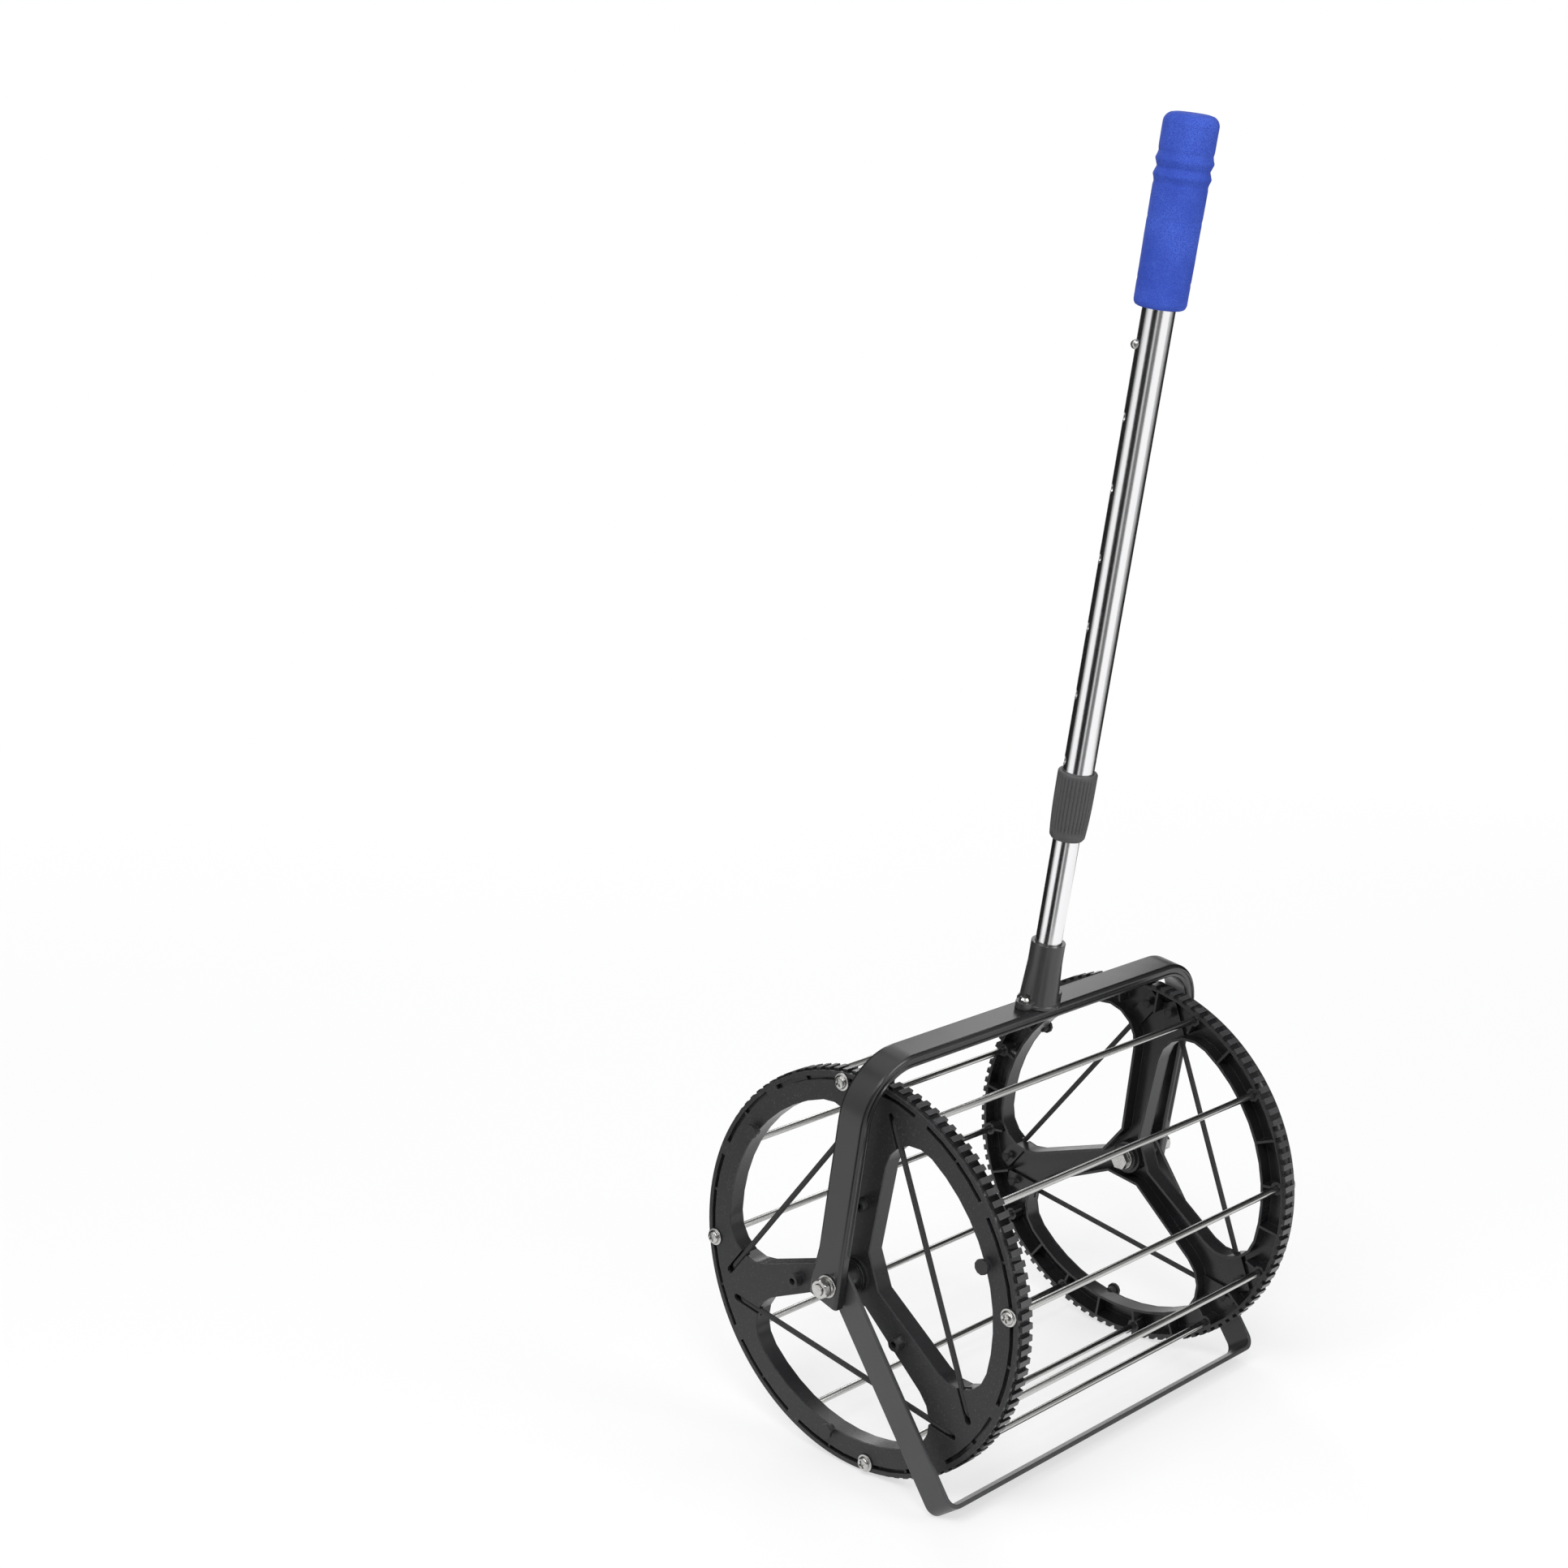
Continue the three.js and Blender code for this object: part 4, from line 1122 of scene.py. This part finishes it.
def knot_cover(place):
    yarn = noise(place, 1500, 3, 0.7)
    tone = blend(yarn, (0.006, 0.006, 0.006, 1), (0.030, 0.030, 0.031, 1))
    return tone, 0.6 + yarn * 0.25, bump(yarn, 0.15 * mm)


elastic_knot = finish("elastic_knot", knot_cover)

# %% [markdown]
# Now the cords themselves. Each is a braided tube, pulled taut, with its knots. The slot
# floors at its two ends come with it.

# %% Cords
cord_slot_half = 6 * mm
cord_slot_depth = 4.75 * mm
floor_before = 8 * mm
floor_after = 22 * mm
for side, outwards in both_sides:
    inward = Vector((-outwards, 0, 0))
    for k in range(1, 4):
        node = f"elastic_cord_{side}_{k}"
        start, end = cord_ends(node, outwards)
        route = cord_route(start, end, inward)
        mesh, length = cord_mesh(node + "_braided", route)
        cord = new_piece(node + "_braided", mesh, elastic_cover, "drum", node)
        knots = [knot(f"{node}_knot_{n}", tail, inward) for n, tail in ((1, route[0]), (2, route[-1]))]
        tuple(route[0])
        run = (end - start).normalized()
        for n, (tip, way) in enumerate(((start, run), (end, -run)), 1):
            across = Vector((0, -way.z, way.y)) * cord_slot_half
            near, far = tip - way * floor_before, tip + way * floor_after
            outline = [p.yz for p in (near + across, far + across, far - across, near - across)]
            slot_floor(f"cord_floor_{side}_{k}_{n}", outline, outwards, cord_slot_depth)
print("each cord is", round(length / mm), "mm long")

# %% [markdown]
# ## What keeps its CAD mesh
# The small hidden fittings are right as they are. They take the finishes from above by
# name, and the Bevel node in those finishes rounds their edges.

# %% Finishes for the remaining CAD nodes
plated = ["axle_bolt_left", "axle_bolt_right", "spring_washer_left", "spring_washer_right",
          "socket_screw_left", "socket_screw_right", "button_spring"]
moulded = ["hub_bush_left", "hub_bush_right", "guide_plug"]
by_slot = {"wheel_plastic": black_wheel, "frame_plastic": black_frame, "stand_metal": stand_finish,
           "polished_steel": pole_steel, "plated_steel": nickel, "elastic": elastic_knot, "foam": foam}
by_name = {**dict.fromkeys(plated, nickel), **dict.fromkeys(moulded, black_frame)}
slots = {part["node"]: part.get("material_slot") for part in frame["record"].get("parts", [])
         if "node" in part}
for name, node in nodes.items():
    look = by_name.get(name) or by_slot.get(slots.get(name), black_frame)
    node.data.materials.clear()
    node.data.materials.append(look)
print("still CAD meshes:", [name for name in nodes if not nodes[name].hide_render])

# %% [markdown]
# ## Floor, light and what the chrome sees
# The photograph has a white studio floor with a faint shadow. We lift a white floor by
# emission, for the camera and for reflections: part of the way near the drum, where the
# shadow has to show, and fully further off.

# %% Floor
def seen_rays(start):
    """A mask of rays from the camera, a reflection or glass, and one of reflections alone."""
    kinds = ("Camera", "Glossy", "Transmission")
    rays = [start.node("LightPath", output=f"Is {kind} Ray") for kind in kinds]
    return rays[0] + rays[1] + rays[2], rays[1]


def pale_floor():
    material = bpy.data.materials.new("pale_floor")
    material.use_nodes = True
    tree = material.node_tree
    tree.nodes.clear()
    start = Wire(tree)
    seen, _ = seen_rays(start)
    away = start.node("TexCoord", output="Object").vector("LENGTH", output="Value")
    lift = 0.62 + 0.38 * span(away, 0.6, 2.2)
    paper = start.node("BsdfDiffuse", None, {"Color": (0.86, 0.86, 0.865, 1)})
    lit = start.node("Emission", None, {"Color": (1, 1, 1, 1), "Strength": 1.0})
    shown = start.node("MixShader", None, {0: seen * lift, 1: paper, 2: lit})
    start.node("OutputMaterial", None, {"Surface": shown})
    return material


floor_size = 14.0
floor_mesh = bpy.data.meshes.new("floor")
floor_corners = [(x * floor_size, y * floor_size, 0) for x, y in ((-1, -1), (1, -1), (1, 1), (-1, 1))]
floor_mesh.from_pydata(floor_corners, [], [range(4)])
floor_mesh.materials.append(pale_floor())
floor = linked("floor", floor_mesh)
print("floor is", 2 * floor_size, "m across")

# %% [markdown]
# A chromed tube in an all-white room would vanish. Photographers stand black cards at
# both sides and behind the camera, and the chrome picks up dark lines from them. The
# same cards here can be seen by reflections only, and cast no shadow. Thinner cards
# beside the black ones, set by their alpha, soften the change from black to white.

# %% Black cards
card_distance = 1.15
card_height = 2.2
facing = math.atan2(camera_place[1], camera_place[0])


def black_card(name, from_angle, to_angle, foot, flap, density):
    """A curved upright card, with a flap that lies towards the drum."""
    steps = 10
    shares = [k / steps for k in range(steps + 1)]
    angles = [facing + math.radians(from_angle + (to_angle - from_angle) * share) for share in shares]
    rows = [(flap, foot), (card_distance, foot), (card_distance, card_height)]
    points = [(away * math.cos(a), away * math.sin(a), z) for away, z in rows for a in angles]
    faces = [(k + row, k + row + 1, k + row + steps + 2, k + row + steps + 1)
             for row in (0, steps + 1) for k in range(steps)]
    mesh = bpy.data.meshes.new(name)
    mesh.from_pydata(points, [], faces)
    mesh.materials.append(finish(name, lambda place: (), Base_Color=(0.01, 0.01, 0.01, 1),
                                 Specular_IOR_Level=0, Alpha=density))
    card = linked(name, mesh)
    card.visible_camera = False
    card.visible_diffuse = False
    card.visible_shadow = False


# From and to, in degrees from the camera, then foot, flap and density.
cards = {"card_left": (-165, -92, 0.02, 0.45, 1.0), "card_left_edge": (-92, -78, 0.02, 0.45, 0.5),
         "card_camera_left": (-40, -5, 0.02, 0.45, 1.0), "card_camera": (-5, 6, 0.02, 0.5, 0.35),
         "card_camera_right": (6, 30, 0.02, 0.6, 0.85), "card_right_edge": (82, 102, 0.08, 1.0, 0.5),
         "card_right_side": (102, 118, 0.08, 1.0, 0.85), "card_right": (118, 165, 0.08, 1.0, 1.0)}
for name, sizes in cards.items():
    black_card(name, *sizes)
print(len(cards), "cards")

# %% [markdown]
# The world is white to the camera and in reflections, a little dimmer low down, and
# lights the object at about half strength. Soft lamps do the rest: the key gives the
# shadow, and the rim lamp stands where the bow's top mirrors it to the camera.

# %% World and lamps
lamp_target = Vector((0, 0, 0.3))
world = bpy.data.worlds.new("studio")
bpy.context.scene.world = world
world.use_nodes = True
world.node_tree.nodes.clear()
start = Wire(world.node_tree)
seen, mirrored = seen_rays(start)
height = start.node("TexCoord", output="Generated").part("Z")
dim_low = (1 - span(height, 0.25, 0.85)) * mirrored * 0.35
strength = 0.55 + 0.45 * seen - dim_low
sky = start.node("Background", None, {"Color": (1, 1, 1, 1), "Strength": strength})
start.node("OutputWorld", None, {"Surface": sky})


def soft_lamp(name, place, size, power):
    data = bpy.data.lights.new(name, "AREA")
    data.size = size
    data.energy = power
    lamp = linked(name, data)
    lamp.location = place
    lamp.rotation_euler = (lamp_target - Vector(place)).to_track_quat("-Z", "Y").to_euler()
    print("lamp", name, place, power, "W")


soft_lamp("key", (-2.0, -0.4, 2.6), 1.4, 42)
soft_lamp("fill", (0.6, -2.4, 1.6), 1.6, 24)
soft_lamp("rim", (2.1, 0.85, 1.75), 1.1, 4)
soft_lamp("back", (1.5, 2.4, 1.6), 1.2, 20)
soft_lamp("streak", (-1.12, -1.06, 1.75), 0.4, 9)

# %% [markdown]
# ## Closing
# The looks must not grow the object.
